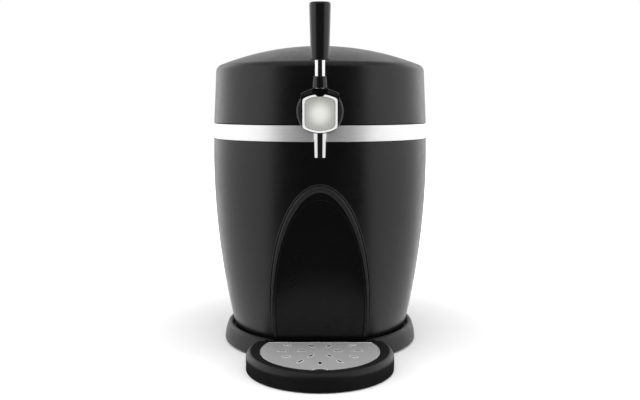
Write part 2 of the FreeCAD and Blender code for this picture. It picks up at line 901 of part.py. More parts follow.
def make_rear_housing():
    body = new_body("rear_housing")
    front = "well_radius"
    side, back = "housing_half_width", "housing_reach"
    corner = "housing_corner"
    shape = [(neg(side), front), (side, front), (side, minus(back, corner)), (minus(side, corner), back),
             (neg(minus(side, corner)), back), (neg(side), minus(back, corner))]
    bows = {2: corner + " * 1.0001", 4: corner + " * 1.0001"}
    pad(body, outline(new_sketch(body, "XY_Plane", "housing_bottom_z"), shape, bows),
        "housing_top_z - housing_bottom_z")
    level = {round(value("housing_bottom_z"), 3), round(value("housing_top_z"), 3)}

    def rim(edge):
        box = edge.BoundBox
        return box.ZLength < 1e-6 and round(box.ZMin, 3) in level and box.YMax > value(front) + 1

    rounded(body, "housing_edge", rim)
    inside = new_sketch(body, "XY_Plane", "housing_bottom_z + housing_wall")
    side, back, corner = "housing_half_width - housing_wall", "housing_reach - housing_wall", \
        "housing_corner - housing_wall"
    shape = [(neg(side), "0"), (side, "0"), (side, minus(back, corner)), (minus(side, corner), back),
             (neg(minus(side, corner)), back), (neg(side), minus(back, corner))]
    bows = {2: "(%s) * 1.0001" % corner, 4: "(%s) * 1.0001" % corner}
    pocket(body, outline(inside, shape, bows), "housing_top_z - housing_bottom_z - 2 * housing_wall",
           reverse=True)
    groove(body, barrel_outline(new_sketch(body, "XZ_Plane"), CLEAR, "body_seat_z", "barrel_rim_z"))
    openings = new_sketch(body, "XZ_Plane", "-housing_reach + 2 * housing_wall")
    rectangle(openings, neg(plus("vent_half_width", CLEAR)), "vent_bottom_z - part_gap",
              plus("vent_half_width", CLEAR), "vent_top_z + part_gap")
    for middle, half_width, half_height in (
        ("inlet_x", "inlet_half_width", "inlet_half_height"),
        ("-switch_x", "switch_half_width", "switch_half_height"),
    ):
        rectangle(openings, minus(middle, plus(half_width, CLEAR)),
                  minus("panel_z", plus(half_height, CLEAR)),
                  plus(middle, half_width, CLEAR), plus("panel_z", half_height, CLEAR))
    pocket(body, openings, "4 * housing_wall")
    posts = new_sketch(body, "XY_Plane", "housing_bottom_z + housing_wall / 2")
    for x, y in board_posts():
        circle(posts, x, y, "board_post_radius")
    pad(body, posts, "board_z - housing_bottom_z - housing_wall / 2")
    keep(body, "rear_housing")


def board_posts():
    inset = "2 * board_post_radius"
    for across in (1, -1):
        for y in (plus("board_front", inset), minus("board_back", inset)):
            yield "%d * (board_half_width - %s)" % (across, inset), y


def make_vent_grille():
    body = new_body("vent_grille")
    face = new_sketch(body, "XZ_Plane", "-housing_reach")
    rectangle(face, neg("vent_half_width"), "vent_bottom_z", "vent_half_width", "vent_top_z")
    pad(body, face, "housing_wall + part_gap")
    flange = new_sketch(body, "XZ_Plane", "-housing_reach + housing_wall + part_gap")
    grow = "vent_flange"
    rectangle(flange, neg(plus("vent_half_width", grow)), minus("vent_bottom_z", grow),
              plus("vent_half_width", grow), plus("vent_top_z", grow))
    pad(body, flange, "housing_wall")
    slot = new_sketch(body, "XZ_Plane", "-housing_reach + 4 * housing_wall")
    span = "vent_slot_pitch * (vent_slot_count - 1)"
    low = "(vent_bottom_z + vent_top_z - (%s) - vent_slot_height) / 2" % span
    rectangle(slot, neg("vent_slot_half_width"), low, "vent_slot_half_width", plus(low, "vent_slot_height"))
    in_line(body, pocket(body, slot, "8 * housing_wall"), "Z_Axis", span, "vent_slot_count")
    keep(body, "vent_grille")


def make_cooling_stack():
    half = "cold_block_size / 2"
    slab = block((neg(half), "well_radius - well_wall", minus("cooling_z", half)),
                 (half, "cold_block_back", plus("cooling_z", half)))
    bore = rod("0", "0", "housing_bottom_z", "well_radius + well_wall + part_gap", "housing_top_z")
    keep(cut("cold_block", slab, bore), "cold_block")
    half = "peltier_size / 2"
    chip = block((neg(half), "cold_block_back", minus("cooling_z", half)),
                 (half, "cold_block_back + peltier_thickness", plus("cooling_z", half)))
    keep(chip, "peltier_module")


def make_heat_sink():
    body = new_body("heat_sink")
    front = "cold_block_back + peltier_thickness"
    half, tall = "sink_width / 2", "sink_height / 2"
    base = new_sketch(body, "XZ_Plane", neg(plus(front, "sink_base_thickness")))
    rectangle(base, neg(half), minus("cooling_z", tall), half, plus("cooling_z", tall))
    pad(body, base, "sink_base_thickness")
    fin = new_sketch(body, "XZ_Plane", "-sink_back")
    span = "fin_pitch * (fin_count - 1)"
    left = "-(%s) / 2 - fin_thickness / 2" % span
    rectangle(fin, left, minus("cooling_z", tall), plus(left, "fin_thickness"), plus("cooling_z", tall))
    blade = pad(body, fin, minus("sink_back", plus(front, "sink_base_thickness / 2")))
    in_line(body, blade, "X_Axis", span, "fin_count")
    keep(body, "heat_sink")


FAN_FRONT = "sink_back + part_gap"
FAN_BACK = plus(FAN_FRONT, "fan_depth")


def make_fan_frame():
    half = "fan_size / 2"
    frame = block((neg(half), FAN_FRONT, minus("cooling_z", half)),
                  (half, FAN_BACK, plus("cooling_z", half)))
    duct = rod("0", "cold_block_back", "cooling_z", "fan_duct_radius", "housing_reach", "Y")
    holes = [rod(x, "cold_block_back", z, "fan_screw_radius + part_gap", "housing_reach", "Y")
             for x, z in fan_screw_places()]
    shell = cut("fan_shell", frame, duct, *holes)
    mount_front = minus(FAN_BACK, "fan_mount_thickness")
    mount = rod("0", mount_front, "cooling_z", "fan_mount_radius", "fan_mount_thickness", "Y")
    strut = "fan_strut_width / 2"
    reach = "fan_duct_radius + fan_strut_width / 2"
    level = block((neg(reach), mount_front, minus("cooling_z", strut)),
                  (reach, FAN_BACK, plus("cooling_z", strut)))
    upright = block((neg(strut), mount_front, minus("cooling_z", reach)),
                    (strut, FAN_BACK, plus("cooling_z", reach)))
    keep(fused("fan_frame", shell, mount, level, upright), "fan_frame")


def fan_screw_places():
    for across in (1, -1):
        for along in (1, -1):
            yield "%d * fan_screw_side * 0.98" % across, "cooling_z + %d * fan_screw_offset" % along


def make_fan_screws():
    screws = []
    for number, (x, z) in enumerate(fan_screw_places(), start=1):
        head = rod(x, FAN_BACK, z, "fan_screw_head_radius", "fan_screw_head_height", "Y")
        shank = rod(x, minus(plus(FAN_BACK, "fan_screw_head_height"), "fan_screw_length"), z,
                    "fan_screw_radius", "fan_screw_length", "Y")
        screws.append(fused("fan_screw_%d" % number, head, shank))
    keep(group("fan_screws", *screws), "fan_screws")


def make_fan_rotor():
    length = "fan_depth - fan_mount_thickness - fan_hub_front - part_gap"
    body = new_body("fan_rotor", at=("0", plus(FAN_FRONT, "fan_hub_front"), "cooling_z"), turn="-90")
    pad(body, circle(new_sketch(body, "XY_Plane"), "0", "0", "fan_hub_radius"), length)
    blade = new_sketch(body, "YZ_Plane")
    lean, skin = "fan_blade_lean", "fan_blade_thickness"
    low, high = "fan_blade_thickness", minus(length, "fan_blade_thickness")
    outline(blade, [(neg(lean), low), (plus(neg(lean), skin), low), (plus(lean, skin), high), (lean, high)])
    around(body, pad(body, blade, "fan_blade_radius"), "fan_blade_count")
    keep(body, "fan_rotor")


def make_control_board():
    top = "board_z + board_thickness"
    board = block((neg("board_half_width"), "board_front", "board_z"),
                  ("board_half_width", "board_back", top))
    edge = "board_margin"
    relay_left = "-board_half_width / 2"
    relay = block((relay_left, plus("board_front", edge), top),
                  (plus(relay_left, "relay_width"), plus("board_front", edge, "relay_depth"),
                   plus(top, "relay_height")))
    plug_left = "board_half_width / 2"
    plug = block((plug_left, minus("board_back", plus(edge, "plug_depth")), top),
                 (plus(plug_left, "plug_width"), minus("board_back", edge), plus(top, "plug_height")))
    cans = [rod(x, plus("board_front", edge, "can_radius"), top, "can_radius", "can_height")
            for x in ("can_pitch", "2 * can_pitch")]
    keep(fused("control_board", board, relay, plug, *cans), "control_board")


def flush_fitting(label, middle, half_width, half_height, depth):
    """A snap-in body that fills its opening in the rear wall, with a flange behind the wall."""
    face = "housing_reach"
    inner = minus(face, "housing_wall + part_gap")
    snout = block((minus(middle, half_width), minus(face, depth), minus("panel_z", half_height)),
                  (plus(middle, half_width), face, plus("panel_z", half_height)))
    flange = block((minus(middle, plus(half_width, "clip_flange")), minus(inner, "clip_flange"),
                    minus("panel_z", plus(half_height, "clip_flange"))),
                   (plus(middle, half_width, "clip_flange"), inner,
                    plus("panel_z", half_height, "clip_flange")))
    return fused(label, snout, flange)


def make_power_inlet():
    shell = flush_fitting("inlet_shell", "inlet_x", "inlet_half_width", "inlet_half_height", "inlet_depth")
    mouth = block(("inlet_x - socket_half_width", "housing_reach - socket_depth",
                   "panel_z - socket_half_height"),
                  ("inlet_x + socket_half_width", "housing_reach + 1", "panel_z + socket_half_height"))
    housing = cut("inlet_housing", shell, mouth)
    pins = []
    for across, up in ((-1, -1), (0, 1), (1, -1)):
        x = "inlet_x + %d * inlet_pin_pitch" % across
        z = "panel_z + %d * inlet_pin_rise" % up
        pins.append(block((minus(x, "inlet_pin_half_width"),
                           "housing_reach - socket_depth - inlet_pin_half_width",
                           minus(z, "inlet_pin_half_height")),
                          (plus(x, "inlet_pin_half_width"), "housing_reach - inlet_pin_depth",
                           plus(z, "inlet_pin_half_height"))))
    keep(fused("power_inlet", housing, *pins), "power_inlet")


def make_power_switch():
    shell = flush_fitting("switch_shell", "-switch_x", "switch_half_width", "switch_half_height",
                          "switch_depth")
    room = "rocker_radius + 2 * part_gap"
    half = "rocker_half_width + part_gap"
    tall = "switch_half_height - bezel_rim"
    space = block((minus("-switch_x", half), "housing_reach - switch_depth + bezel_rim",
                   minus("panel_z", tall)),
                  (plus("-switch_x", half), "housing_reach + 1", plus("panel_z", tall)))
    reach = "switch_half_width - bezel_rim / 2"
    axle = rod(minus("-switch_x", reach), minus("housing_reach", room), "panel_z",
               "rocker_pin_radius + running_gap", "2 * (%s)" % reach, "X")
    keep(cut("switch_bezel", shell, space, axle), "switch_bezel")


def make_switch_rocker():
    body = new_body("switch_rocker", at=("-switch_x", "-(2 * part_gap + rocker_radius) + housing_reach",
                                         "panel_z"),
                    turn="rocker_tilt")
    face = new_sketch(body, "YZ_Plane")
    tall, face_y = "rocker_half_height", "rocker_radius - rocker_dish"
    corners = [("-rocker_foot", "-rocker_foot"), (face_y, neg(tall)), (face_y, tall),
               ("-rocker_foot", "rocker_foot")]
    outline(face, corners, {1: "-3 * rocker_radius"})
    pad(body, face, "2 * rocker_half_width", both=True)
    axle = new_sketch(body, "YZ_Plane")
    circle(axle, "0", "0", "rocker_pin_radius")
    pad(body, axle, "2 * (switch_half_width - bezel_rim / 2) - part_gap", both=True)
    keep(body, "switch_rocker")


# Lid

def lid_surface(depth):
    """Corner places of the lid's outer surface moved in by a depth."""
    shoulder = minus("lid_shoulder_radius", depth)
    bow = minus("lid_dome_bow", depth)
    centre = "lid_shoulder_z - sqrt(lid_dome_bow^2 - lid_shoulder_radius^2)"
    return {
        "shoulder": shoulder,
        "shoulder_z": plus(centre, "sqrt((%s)^2 - (%s)^2)" % (bow, shoulder)),
        "apex_z": plus(centre, bow),
        "bow": bow,
    }


def lid_outline(sketch, depth, low):
    """Solid under the lid's surface, moved in by a depth, down to a level."""
    at = lid_surface(depth)
    slope = "(lid_foot_radius - lid_shoulder_radius) / (lid_shoulder_z - lid_foot_z)"
    foot = plus(at["shoulder"], "%s * (%s)" % (slope, minus(at["shoulder_z"], low)))
    corners = [("0", low), (foot, low), (at["shoulder"], at["shoulder_z"]), ("0", at["apex_z"])]
    return outline(sketch, corners, {2: at["bow"]})


def lid_solid(label, depth, low):
    """A solid lid form with its corner rounded."""
    body = new_body(label)
    turned(body, "Revolution", lid_outline(new_sketch(body, "XZ_Plane"), depth, low))
    level = value(lid_surface(depth)["shoulder_z"])
    rounded(body, minus("lid_corner", "min(lid_corner / 2; %s)" % depth),
            lambda edge: abs(edge.BoundBox.ZMin - level) < 1e-3 and edge.BoundBox.ZLength < 1e-6)
    return body


def tap_notch(body):
    """Arch-topped notch that clears the tap's saddle when the lid lifts."""
    sketch = new_sketch(body, "XZ_Plane")
    half = "notch_half_width"
    corners = [(neg(half), "deck_seat_z"), (half, "deck_seat_z"), (half, "tap_z"), (neg(half), "tap_z")]
    outline(sketch, corners, {2: half + " * 1.0001"})
    pocket(body, sketch, "2 * lid_foot_radius", reverse=True)


def make_lid_shell():
    inner = lid_solid("lid_shell_core", "lid_wall", "deck_seat_z")
    outer = lid_solid("lid_shell_form", "0", "lid_foot_z")
    tap_notch(outer)
    keep(cut("lid_shell", outer, inner), "lid_shell")


def make_lid_foam():
    inner = lid_solid("lid_foam_core", "lid_foam_depth", "deck_seat_z")
    outer = lid_solid("lid_foam_form", "lid_wall + part_gap",
                      "liner_flange_z + liner_flange_thickness + part_gap")
    tap_notch(outer)
    keep(cut("lid_foam", outer, inner), "lid_foam")


def make_lid_liner():
    inner = lid_solid("lid_liner_core", "lid_foam_depth + part_gap + liner_wall", "deck_seat_z")
    outer = lid_solid("lid_liner_form", "lid_foam_depth + part_gap", "liner_flange_z")
    flange = new_sketch(outer, "XY_Plane", "liner_flange_z")
    circle(flange, "0", "0", "liner_flange_radius")
    pad(outer, flange, "liner_flange_thickness")
    tap_notch(outer)
    keep(cut("lid_liner", outer, inner), "lid_liner")


def make_lid_gasket():
    body = new_body("lid_gasket")
    low = plus(DECK_TOP, CLEAR)
    corners = [("gasket_inner_radius", low), ("gasket_outer_radius", low),
               ("gasket_outer_radius", "liner_flange_z"), ("gasket_inner_radius", "liner_flange_z")]
    turned(body, "Revolution", outline(new_sketch(body, "XZ_Plane"), corners))
    tap_notch(body)
    keep(body, "lid_gasket")


def pin_hole(body):
    sketch = new_sketch(body, "YZ_Plane")
    circle(sketch, "hinge_back", "hinge_z", "hinge_pin_radius + running_gap")
    pocket(body, sketch, "4 * hinge_pin_half_length", both=True)


def make_hinge_arm():
    body = new_body("hinge_arm")
    side = new_sketch(body, "YZ_Plane")
    low, high = "hinge_z - knuckle_radius", "hinge_z + knuckle_radius"
    corners = [("lid_shoulder_radius - knuckle_radius", "lid_foot_z + 2 * part_gap"), ("hinge_back", low),
               ("hinge_back", high), ("lid_foot_radius + 2 * part_gap", "hinge_arm_top_z"),
               ("lid_shoulder_radius - knuckle_radius", "hinge_arm_top_z")]
    outline(side, corners, {1: "knuckle_radius * 1.0001"})
    pad(body, side, "2 * knuckle_half_width", both=True)
    groove(body, lid_outline(new_sketch(body, "XZ_Plane"), "-part_gap / 2", "housing_top_z"))
    pin_hole(body)
    keep(body, "hinge_arm")


def make_hinge_bracket():
    body = new_body("hinge_bracket")
    side = new_sketch(body, "YZ_Plane")
    back, front = "hinge_back + knuckle_radius", "hinge_back - knuckle_radius"
    corners = [("hinge_front", "housing_top_z"), ("hinge_foot_back", "housing_top_z"),
               ("hinge_foot_back", "housing_top_z + hinge_foot_thickness"), (back, "hinge_z"),
               (front, "hinge_z"),
               ("hinge_front", "hinge_z - knuckle_radius")]
    outline(side, corners, {3: "knuckle_radius * 1.0001"})
    pad(body, side, "2 * ear_outer", both=True)
    gap = new_sketch(body, "YZ_Plane")
    rectangle(gap, "barrel_rim_radius - 2", "housing_top_z + hinge_foot_thickness", "hinge_foot_back + 2",
              "hinge_z + 2 * knuckle_radius")
    pocket(body, gap, "2 * ear_inner", both=True)
    pin_hole(body)
    keep(body, "hinge_bracket")


def make_hinge_pin():
    keep(rod(neg("hinge_pin_half_length"), "hinge_back", "hinge_z", "hinge_pin_radius",
             "2 * hinge_pin_half_length", "X"), "hinge_pin")


# Tap

def shank_hole(front, back):
    """The rod that clears the shank between two planes."""
    return rod("0", neg(front), "tap_z", "shank_radius + part_gap", minus(front, back), "Y")


def make_tap_saddle():
    half = "saddle_half_width"
    plate = block((neg(half), "-saddle_front", "collar_top_z"), (half, "-saddle_back", "tap_z"))
    arch = rod("0", "-saddle_front", "tap_z", half, "saddle_front - saddle_back", "Y")
    foot = block((neg(half), "-saddle_back", DECK_TOP), (half, "-saddle_foot_back",
                                                         plus(DECK_TOP, "saddle_foot_thickness")))
    joined = fused("saddle_form", plate, arch, foot)
    below = block(("-2 * saddle_half_width", "-saddle_front - 1", "deck_seat_z - 10"),
                  ("2 * saddle_half_width", "-saddle_back", "collar_top_z"))
    keep(cut("tap_saddle", joined, below, shank_hole("saddle_front + 1", "saddle_back - 1")), "tap_saddle")


def make_escutcheon():
    body = new_body("escutcheon", at=("0", "-saddle_front", "tap_z"), turn="90")
    thick = "disc_front - saddle_front"
    bore = "shank_radius + part_gap"
    corners = [(bore, "0"), ("disc_radius", "0"), ("disc_radius", minus(thick, "2 * disc_edge")),
               ("disc_radius - 2 * disc_edge", thick), (bore, thick)]
    turned(body, "Revolution", outline(new_sketch(body, "XZ_Plane"), corners,
                                       {2: "2 * disc_edge * 1.0001"}))
    foot = new_sketch(body, "XY_Plane")
    rectangle(foot, "-2 * disc_radius", "-2 * disc_radius", "2 * disc_radius", "-disc_drop")
    pocket(body, foot, "4 * disc_radius", both=True)
    keep(body, "escutcheon")


def make_tap_shank():
    solid = rod("0", "-shank_front", "tap_z", "shank_radius", "shank_front - shank_back", "Y")
    bore = rod("0", "-shank_front - 1", "tap_z", "shank_bore", "shank_front - shank_back + 2", "Y")
    keep(cut("tap_shank", solid, bore), "tap_shank")


def make_shank_nut():
    body = new_body("shank_nut", at=("0", "-saddle_back", "tap_z"), turn="-90")
    face = new_sketch(body, "XY_Plane")
    far = "nut_half_width / cos(30 deg)"
    near = "nut_half_width * tan(30 deg)"
    outline(face, [(neg(far), "0"), (neg(near), "-nut_half_width"), (near, "-nut_half_width"), (far, "0"),
                   (near, "nut_half_width"), (neg(near), "nut_half_width")])
    pad(body, face, "nut_thickness")
    bore = new_sketch(body, "XY_Plane")
    circle(bore, "0", "0", "shank_radius + part_gap")
    pocket(body, bore, "4 * nut_thickness", both=True)
    keep(body, "shank_nut")


def make_shank_elbow():
    middle = "(shank_back + elbow_back) / 2"
    along = rod("0", "-shank_back", "tap_z", "elbow_radius", "shank_back - elbow_back", "Y")
    across = rod("0", neg(middle), "tap_z", "hose_radius",
                 "hose_ring_radius * cos(hose_start * 1 deg) - 2 * part_gap",
                 "X")
    keep(fused("shank_elbow", along, across), "shank_elbow")


def ring_place(angle):
    """A point of the hose's ring, as an angle forward from the right-hand side."""
    return "hose_ring_radius * cos((%s) * 1 deg)" % angle, "-hose_ring_radius * sin((%s) * 1 deg)" % angle


def make_beer_hose():
    body = new_body("beer_hose")
    section = new_sketch(body, "XZ_Plane")
    circle(section, "hose_ring_radius", "tap_z", "hose_radius")
    circle(section, "hose_ring_radius", "tap_z", "hose_bore")
    sweep = turned(body, "Revolution", section, "hose_start - hose_end")
    sweep.Reversed = False
    body.Placement.Rotation = FreeCAD.Rotation(FreeCAD.Vector(0, 0, 1), -value("hose_start"))
    body.setExpression("Placement.Rotation.Angle", bound("-hose_start"))
    keep(body, "beer_hose")


def make_keg_coupler():
    x, y = ring_place("keg_coupler_angle")
    cup = rod(x, y, plus(DECK_TOP, CLEAR), "keg_coupler_radius", "keg_coupler_height - keg_coupler_neck")
    neck = rod(x, y, plus(DECK_TOP, CLEAR), "keg_coupler_neck_radius", "keg_coupler_height")
    keep(fused("keg_coupler", cup, neck), "keg_coupler")
    wall = rod(x, y, DECK_TOP, plus("keg_coupler_radius", CLEAR, "dock_wall"), "dock_height")
    bore = rod(x, y, "deck_seat_z", plus("keg_coupler_radius", CLEAR), "2 * dock_height")
    keep(cut("coupler_dock", wall, bore), "coupler_dock")


def make_hose_clip():
    x, y = ring_place("clip_angle")
    half = "clip_half_width"
    post = block((minus(x, half), minus(y, half), DECK_TOP),
                 (plus(x, half), plus(y, half), "tap_z - hose_radius - part_gap"))
    keep(post, "hose_clip")


def make_tap_body():
    body = new_body("tap_body")
    side = new_sketch(body, "YZ_Plane")
    heel_z = "tap_z - shank_radius - 2 * tap_heel"
    rise = "tap_crown * sin(45 deg)"
    reach = "tap_crown * cos(45 deg)"
    corners = [
        ("-disc_front", heel_z),
        ("-disc_front", plus("pivot_z", rise)),
        (plus("-pivot_front", reach), plus("pivot_z", rise)),
        (minus("-pivot_front", reach), plus("pivot_z", rise)),
        ("-tap_front", plus("pivot_z", rise)),
        ("-tap_front", "tap_bottom_z + tap_chin"),
        ("-tap_front + tap_chin", "tap_bottom_z"),
        ("-spout_front + spout_top_radius + tap_heel", "tap_bottom_z"),
        ("-spout_front + spout_top_radius + 2 * tap_heel", heel_z),
    ]
    corners.reverse()
    outline(side, corners, {5: "tap_crown"})
    pad(body, side, "2 * tap_half_width", both=True)
    backing = new_sketch(body, "XZ_Plane", "tap_front")
    plate_outline(backing, "part_gap", "plate_corner", "tap_z - plate_backing_drop")
    flanks = new_sketch(body, "XZ_Plane")
    for side_sign in (1, -1):
        low = "tap_bottom_z - 1"
        edge = "%d * (tap_half_width + 1)" % side_sign
        foot = "%d * (spout_top_radius + 2 * tap_heel)" % side_sign
        outline(flanks, [(edge, low), (edge, "tap_z - tap_flank_drop"), (foot, low)])
    pocket(body, flanks, "2 * tap_front", reverse=True)
    pad(body, backing, "plate_backing", reverse=True)
    socket = new_sketch(body, "XZ_Plane", "disc_front")
    circle(socket, "0", "tap_z", "shank_radius + part_gap")
    pocket(body, socket, "shank_front - disc_front + part_gap", reverse=True)
    chamber = new_sketch(body, "XZ_Plane", "shank_front")
    circle(chamber, "0", "chamber_z", "chamber_radius")
    pocket(body, chamber, "tap_front - shank_front - tap_heel", reverse=True)
    outlet = new_sketch(body, "XY_Plane", "tap_bottom_z - 1")
    circle(outlet, "0", "-spout_front", "spout_bore")
    pocket(body, outlet, "chamber_z - tap_bottom_z", reverse=True)
    slot = new_sketch(body, "YZ_Plane")
    rectangle(slot, "-tap_slot_front", "chamber_z", "-tap_slot_back", "hood_outer + pivot_z")
    pocket(body, slot, "2 * (cam_half_width + 2 * part_gap)", both=True)
    pins = new_sketch(body, "YZ_Plane")
    circle(pins, "-pivot_front", "pivot_z", "pivot_radius + running_gap")
    pocket(body, pins, "4 * tap_half_width", both=True)
    keep(body, "tap_body")


def make_pivot_pins():
    length = "pivot_outer - pivot_inner"
    right = rod("pivot_inner", "-pivot_front", "pivot_z", "pivot_radius", length, "X")
    left = rod("-pivot_outer", "-pivot_front", "pivot_z", "pivot_radius", length, "X")
    keep(group("pivot_pins", right, left), "pivot_pins")


def make_lever_yoke():
    body = new_body("lever_yoke", at=("0", "-pivot_front", "pivot_z"))
    side = new_sketch(body, "YZ_Plane")
    start, end = "hood_start_angle", "hood_end_angle"

    def polar(radius, angle):
        return "(%s) * cos((%s) * 1 deg)" % (radius, angle), "(%s) * sin((%s) * 1 deg)" % (radius, angle)

    hood = [polar("hood_outer", start), polar("hood_outer", end), polar("hood_inner", end),
            polar("hood_inner", start)]
    outline(side, hood, {0: "hood_outer", 2: "-hood_inner"})
    pad(body, side, "2 * hood_half_width", both=True)
    for sign in (1, -1):
        cheek = new_sketch(body, "YZ_Plane", "%d * (hood_half_width - cheek_wall / 2)" % sign)
        corners = [polar("hood_outer", start), polar("hood_outer", end),
                   polar("cheek_radius", "180 + cheek_angle"), polar("cheek_radius", "-cheek_angle")]
        outline(cheek, corners, {0: "hood_outer", 2: "cheek_radius"})
        pad(body, cheek, "cheek_wall", both=True)
    cam = new_sketch(body, "YZ_Plane")
    half = "cam_thickness / 2"
    outline(cam, [(neg(half), "cam_tip_z - pivot_z + 1"), ("0", "cam_tip_z - pivot_z"),
                  (half, "cam_tip_z - pivot_z + 1"), (half, "hood_inner + 1"),
                  (neg(half), "hood_inner + 1")])
    pad(body, cam, "2 * cam_half_width", both=True)
    for sign in (1, -1):
        pins = new_sketch(body, "YZ_Plane", "%d * 2 * cam_half_width" % sign)
        circle(pins, "0", "0", "pivot_radius + running_gap")
        pocket(body, pins, "2 * hood_half_width", reverse=sign > 0)
    arch = new_sketch(body, "XZ_Plane")
    side, crest = "hood_half_width + 1", "hood_outer + part_gap / 2"
    spring_z = "(%s) - hood_arch_bow + sqrt(hood_arch_bow^2 - (%s)^2)" % (crest, side)
    outline(arch, [(neg(side), "2 * hood_outer"), (neg(side), spring_z), (side, spring_z),
                   (side, "2 * hood_outer")], {1: "-hood_arch_bow"})
    pocket(body, arch, "4 * hood_outer", both=True)
    boss = new_sketch(body, "XY_Plane", "hood_inner + 1")
    bow = "hood_boss_radius"
    centre = "-hood_outer * sin(lever_lean * 1 deg)"
    front = "hood_outer * cos(hood_end_angle * 1 deg)"
    half = "sqrt(hood_boss_radius^2 - ((%s) - (%s))^2)" % (centre, front)
    outline(boss, [(neg(half), front), (half, front), (bow, centre), ("0", plus(centre, bow)),
                   (neg(bow), centre)],
            {1: bow, 2: bow, 3: bow, 4: bow})
    pad(body, boss, "hood_outer - hood_inner - 1")
    keep(body, "lever_yoke")


def lever_body(label):
    """A body on the lever's own axis, which leans forward from the pivot."""
    return new_body(label, at=("0", "-pivot_front", "pivot_z"), turn="lever_lean")


def lever_turning(label, corners, bows=None):
    body = lever_body(label)
    turned(body, "Revolution", outline(new_sketch(body, "XZ_Plane"), corners, bows))
    keep(body, label)
    return body


def make_lever():
    bore = "stem_radius + part_gap"
    lever_turning("lever_collar", [(bore, "collar_low"), ("collar_low_radius", "collar_low"),
                                   ("collar_high_radius", "collar_high"), (bore, "collar_high")])
    lever_turning("lever_stem", [("0", "stem_low"), ("stem_radius", "stem_low"),
                                 ("stem_radius", "stem_top"), ("0", "stem_top")])
    edge, chamfer = "grip_edge", "grip_chamfer"
    lever_turning("lever_grip", [
        (bore, "grip_low"), (minus("grip_low_radius", chamfer), "grip_low"),
        ("grip_low_radius", plus("grip_low", chamfer)),
        ("grip_top_radius", minus("grip_top", edge)), (minus("grip_top_radius", edge), "grip_top"),
        ("0", plus("grip_top", "grip_crown")), ("0", plus("stem_top", CLEAR)),
        (bore, plus("stem_top", CLEAR)),
    ], {3: edge + " * 1.0001"})


SPRING_FRONT = "-shank_front - part_gap - spring_length"


def make_plunger():
    back = minus(SPRING_FRONT, "plunger_travel + part_gap")
    rod_body = rod("0", "-plunger_front", "chamber_z", "plunger_radius", plus(back, "plunger_front"), "Y")
    waist_at = "-pivot_front - plunger_waist_length / 2"
    ring = rod("0", waist_at, "chamber_z", "plunger_radius + 1", "plunger_waist_length", "Y")
    core = rod("0", minus(waist_at, "1"), "chamber_z", "plunger_waist", "plunger_waist_length + 2", "Y")
    keep(fused("plunger", cut("plunger_rod", rod_body, ring), core), "plunger")


def make_valve_spring():
    """A corrugated sleeve that pushes the plunger back."""
    body = new_body("valve_spring", at=("0", SPRING_FRONT, "chamber_z"), turn="-90")
    wall = "1.5 * spring_wire"
    outer = []
    for step in range(2 * int(value("spring_folds")) + 1):
        radius = "spring_radius - spring_fold" if step % 2 == 0 else "spring_radius"
        outer.append((radius, "%d * spring_length / (2 * spring_folds)" % step))
    inner = [(minus(radius, wall), height) for radius, height in reversed(outer)]
    turned(body, "Revolution", outline(new_sketch(body, "XZ_Plane"), outer + inner))
    keep(body, "valve_spring")


def make_spout():
    body = new_body("spout", at=("0", "-spout_front", "0"))
    corners = [("spout_bore", "spout_tip_z"), ("spout_tip_radius", "spout_tip_z"),
               ("spout_top_radius", "tap_bottom_z"), ("spout_bore", "tap_bottom_z")]
    turned(body, "Revolution", outline(new_sketch(body, "XZ_Plane"), corners))
    keep(body, "spout")


def plate_corner_points(half, rise, bow, radius):
    """Where a rounded corner leaves the straight side and where it meets the bowed edge."""
    across, centre = minus(half, radius), minus(rise, bow)
    up = "sqrt(((%s) - (%s))^2 - (%s)^2)" % (bow, radius, across)
    share = "(%s) / ((%s) - (%s))" % (bow, bow, radius)
    return (half, plus(centre, up)), ("(%s) * %s" % (across, share), plus(centre, "%s * %s" % (up, share)))


def plate_outline(sketch, inset, corner, level="0"):
    """Front outline of the tap's face plate about a level, drawn in from its edge."""
    half, top_bow, low_bow = [minus(size, inset) for size in ("plate_half_width", "plate_top_bow",
                                                              "plate_low_bow")]
    side_high, high = plate_corner_points(half, minus("plate_top", inset), top_bow, corner)
    side_low, low = plate_corner_points(half, minus("plate_low", inset), low_bow, corner)
    right = [(low[0], minus(level, low[1])), (half, minus(level, side_low[1])),
             (half, plus(level, side_high[1])), (high[0], plus(level, high[1]))]
    left = [(neg(x), z) for x, z in reversed(right)]
    bows = {0: corner, 2: corner, 3: top_bow, 4: corner, 6: corner, 7: low_bow}
    return outline(sketch, right + left, bows)


def make_faceplate():
    rim = new_body("faceplate_rim", at=("0", "-tap_front", "tap_z"), turn="90")
    pad(rim, plate_outline(new_sketch(rim, "XY_Plane"), "0", "plate_corner"), "plate_thickness")
    opening = plate_outline(new_sketch(rim, "XY_Plane"), "plate_frame", "plate_panel_corner")
    pocket(rim, opening, "4 * plate_thickness", both=True)
    notch = new_sketch(rim, "XY_Plane")
    circle(notch, "0", "plate_top + plate_notch_rise", "plate_notch_radius")
    pocket(rim, notch, "8 * plate_thickness", both=True)
    keep(rim, "faceplate_rim")
    panel = new_body("faceplate_panel", at=("0", "-tap_front", "tap_z"), turn="90")
    inner = plate_outline(new_sketch(panel, "XY_Plane"), "plate_frame + part_gap", "plate_panel_corner")
    pad(panel, inner, "plate_panel_thickness")
    keep(panel, "faceplate_panel")


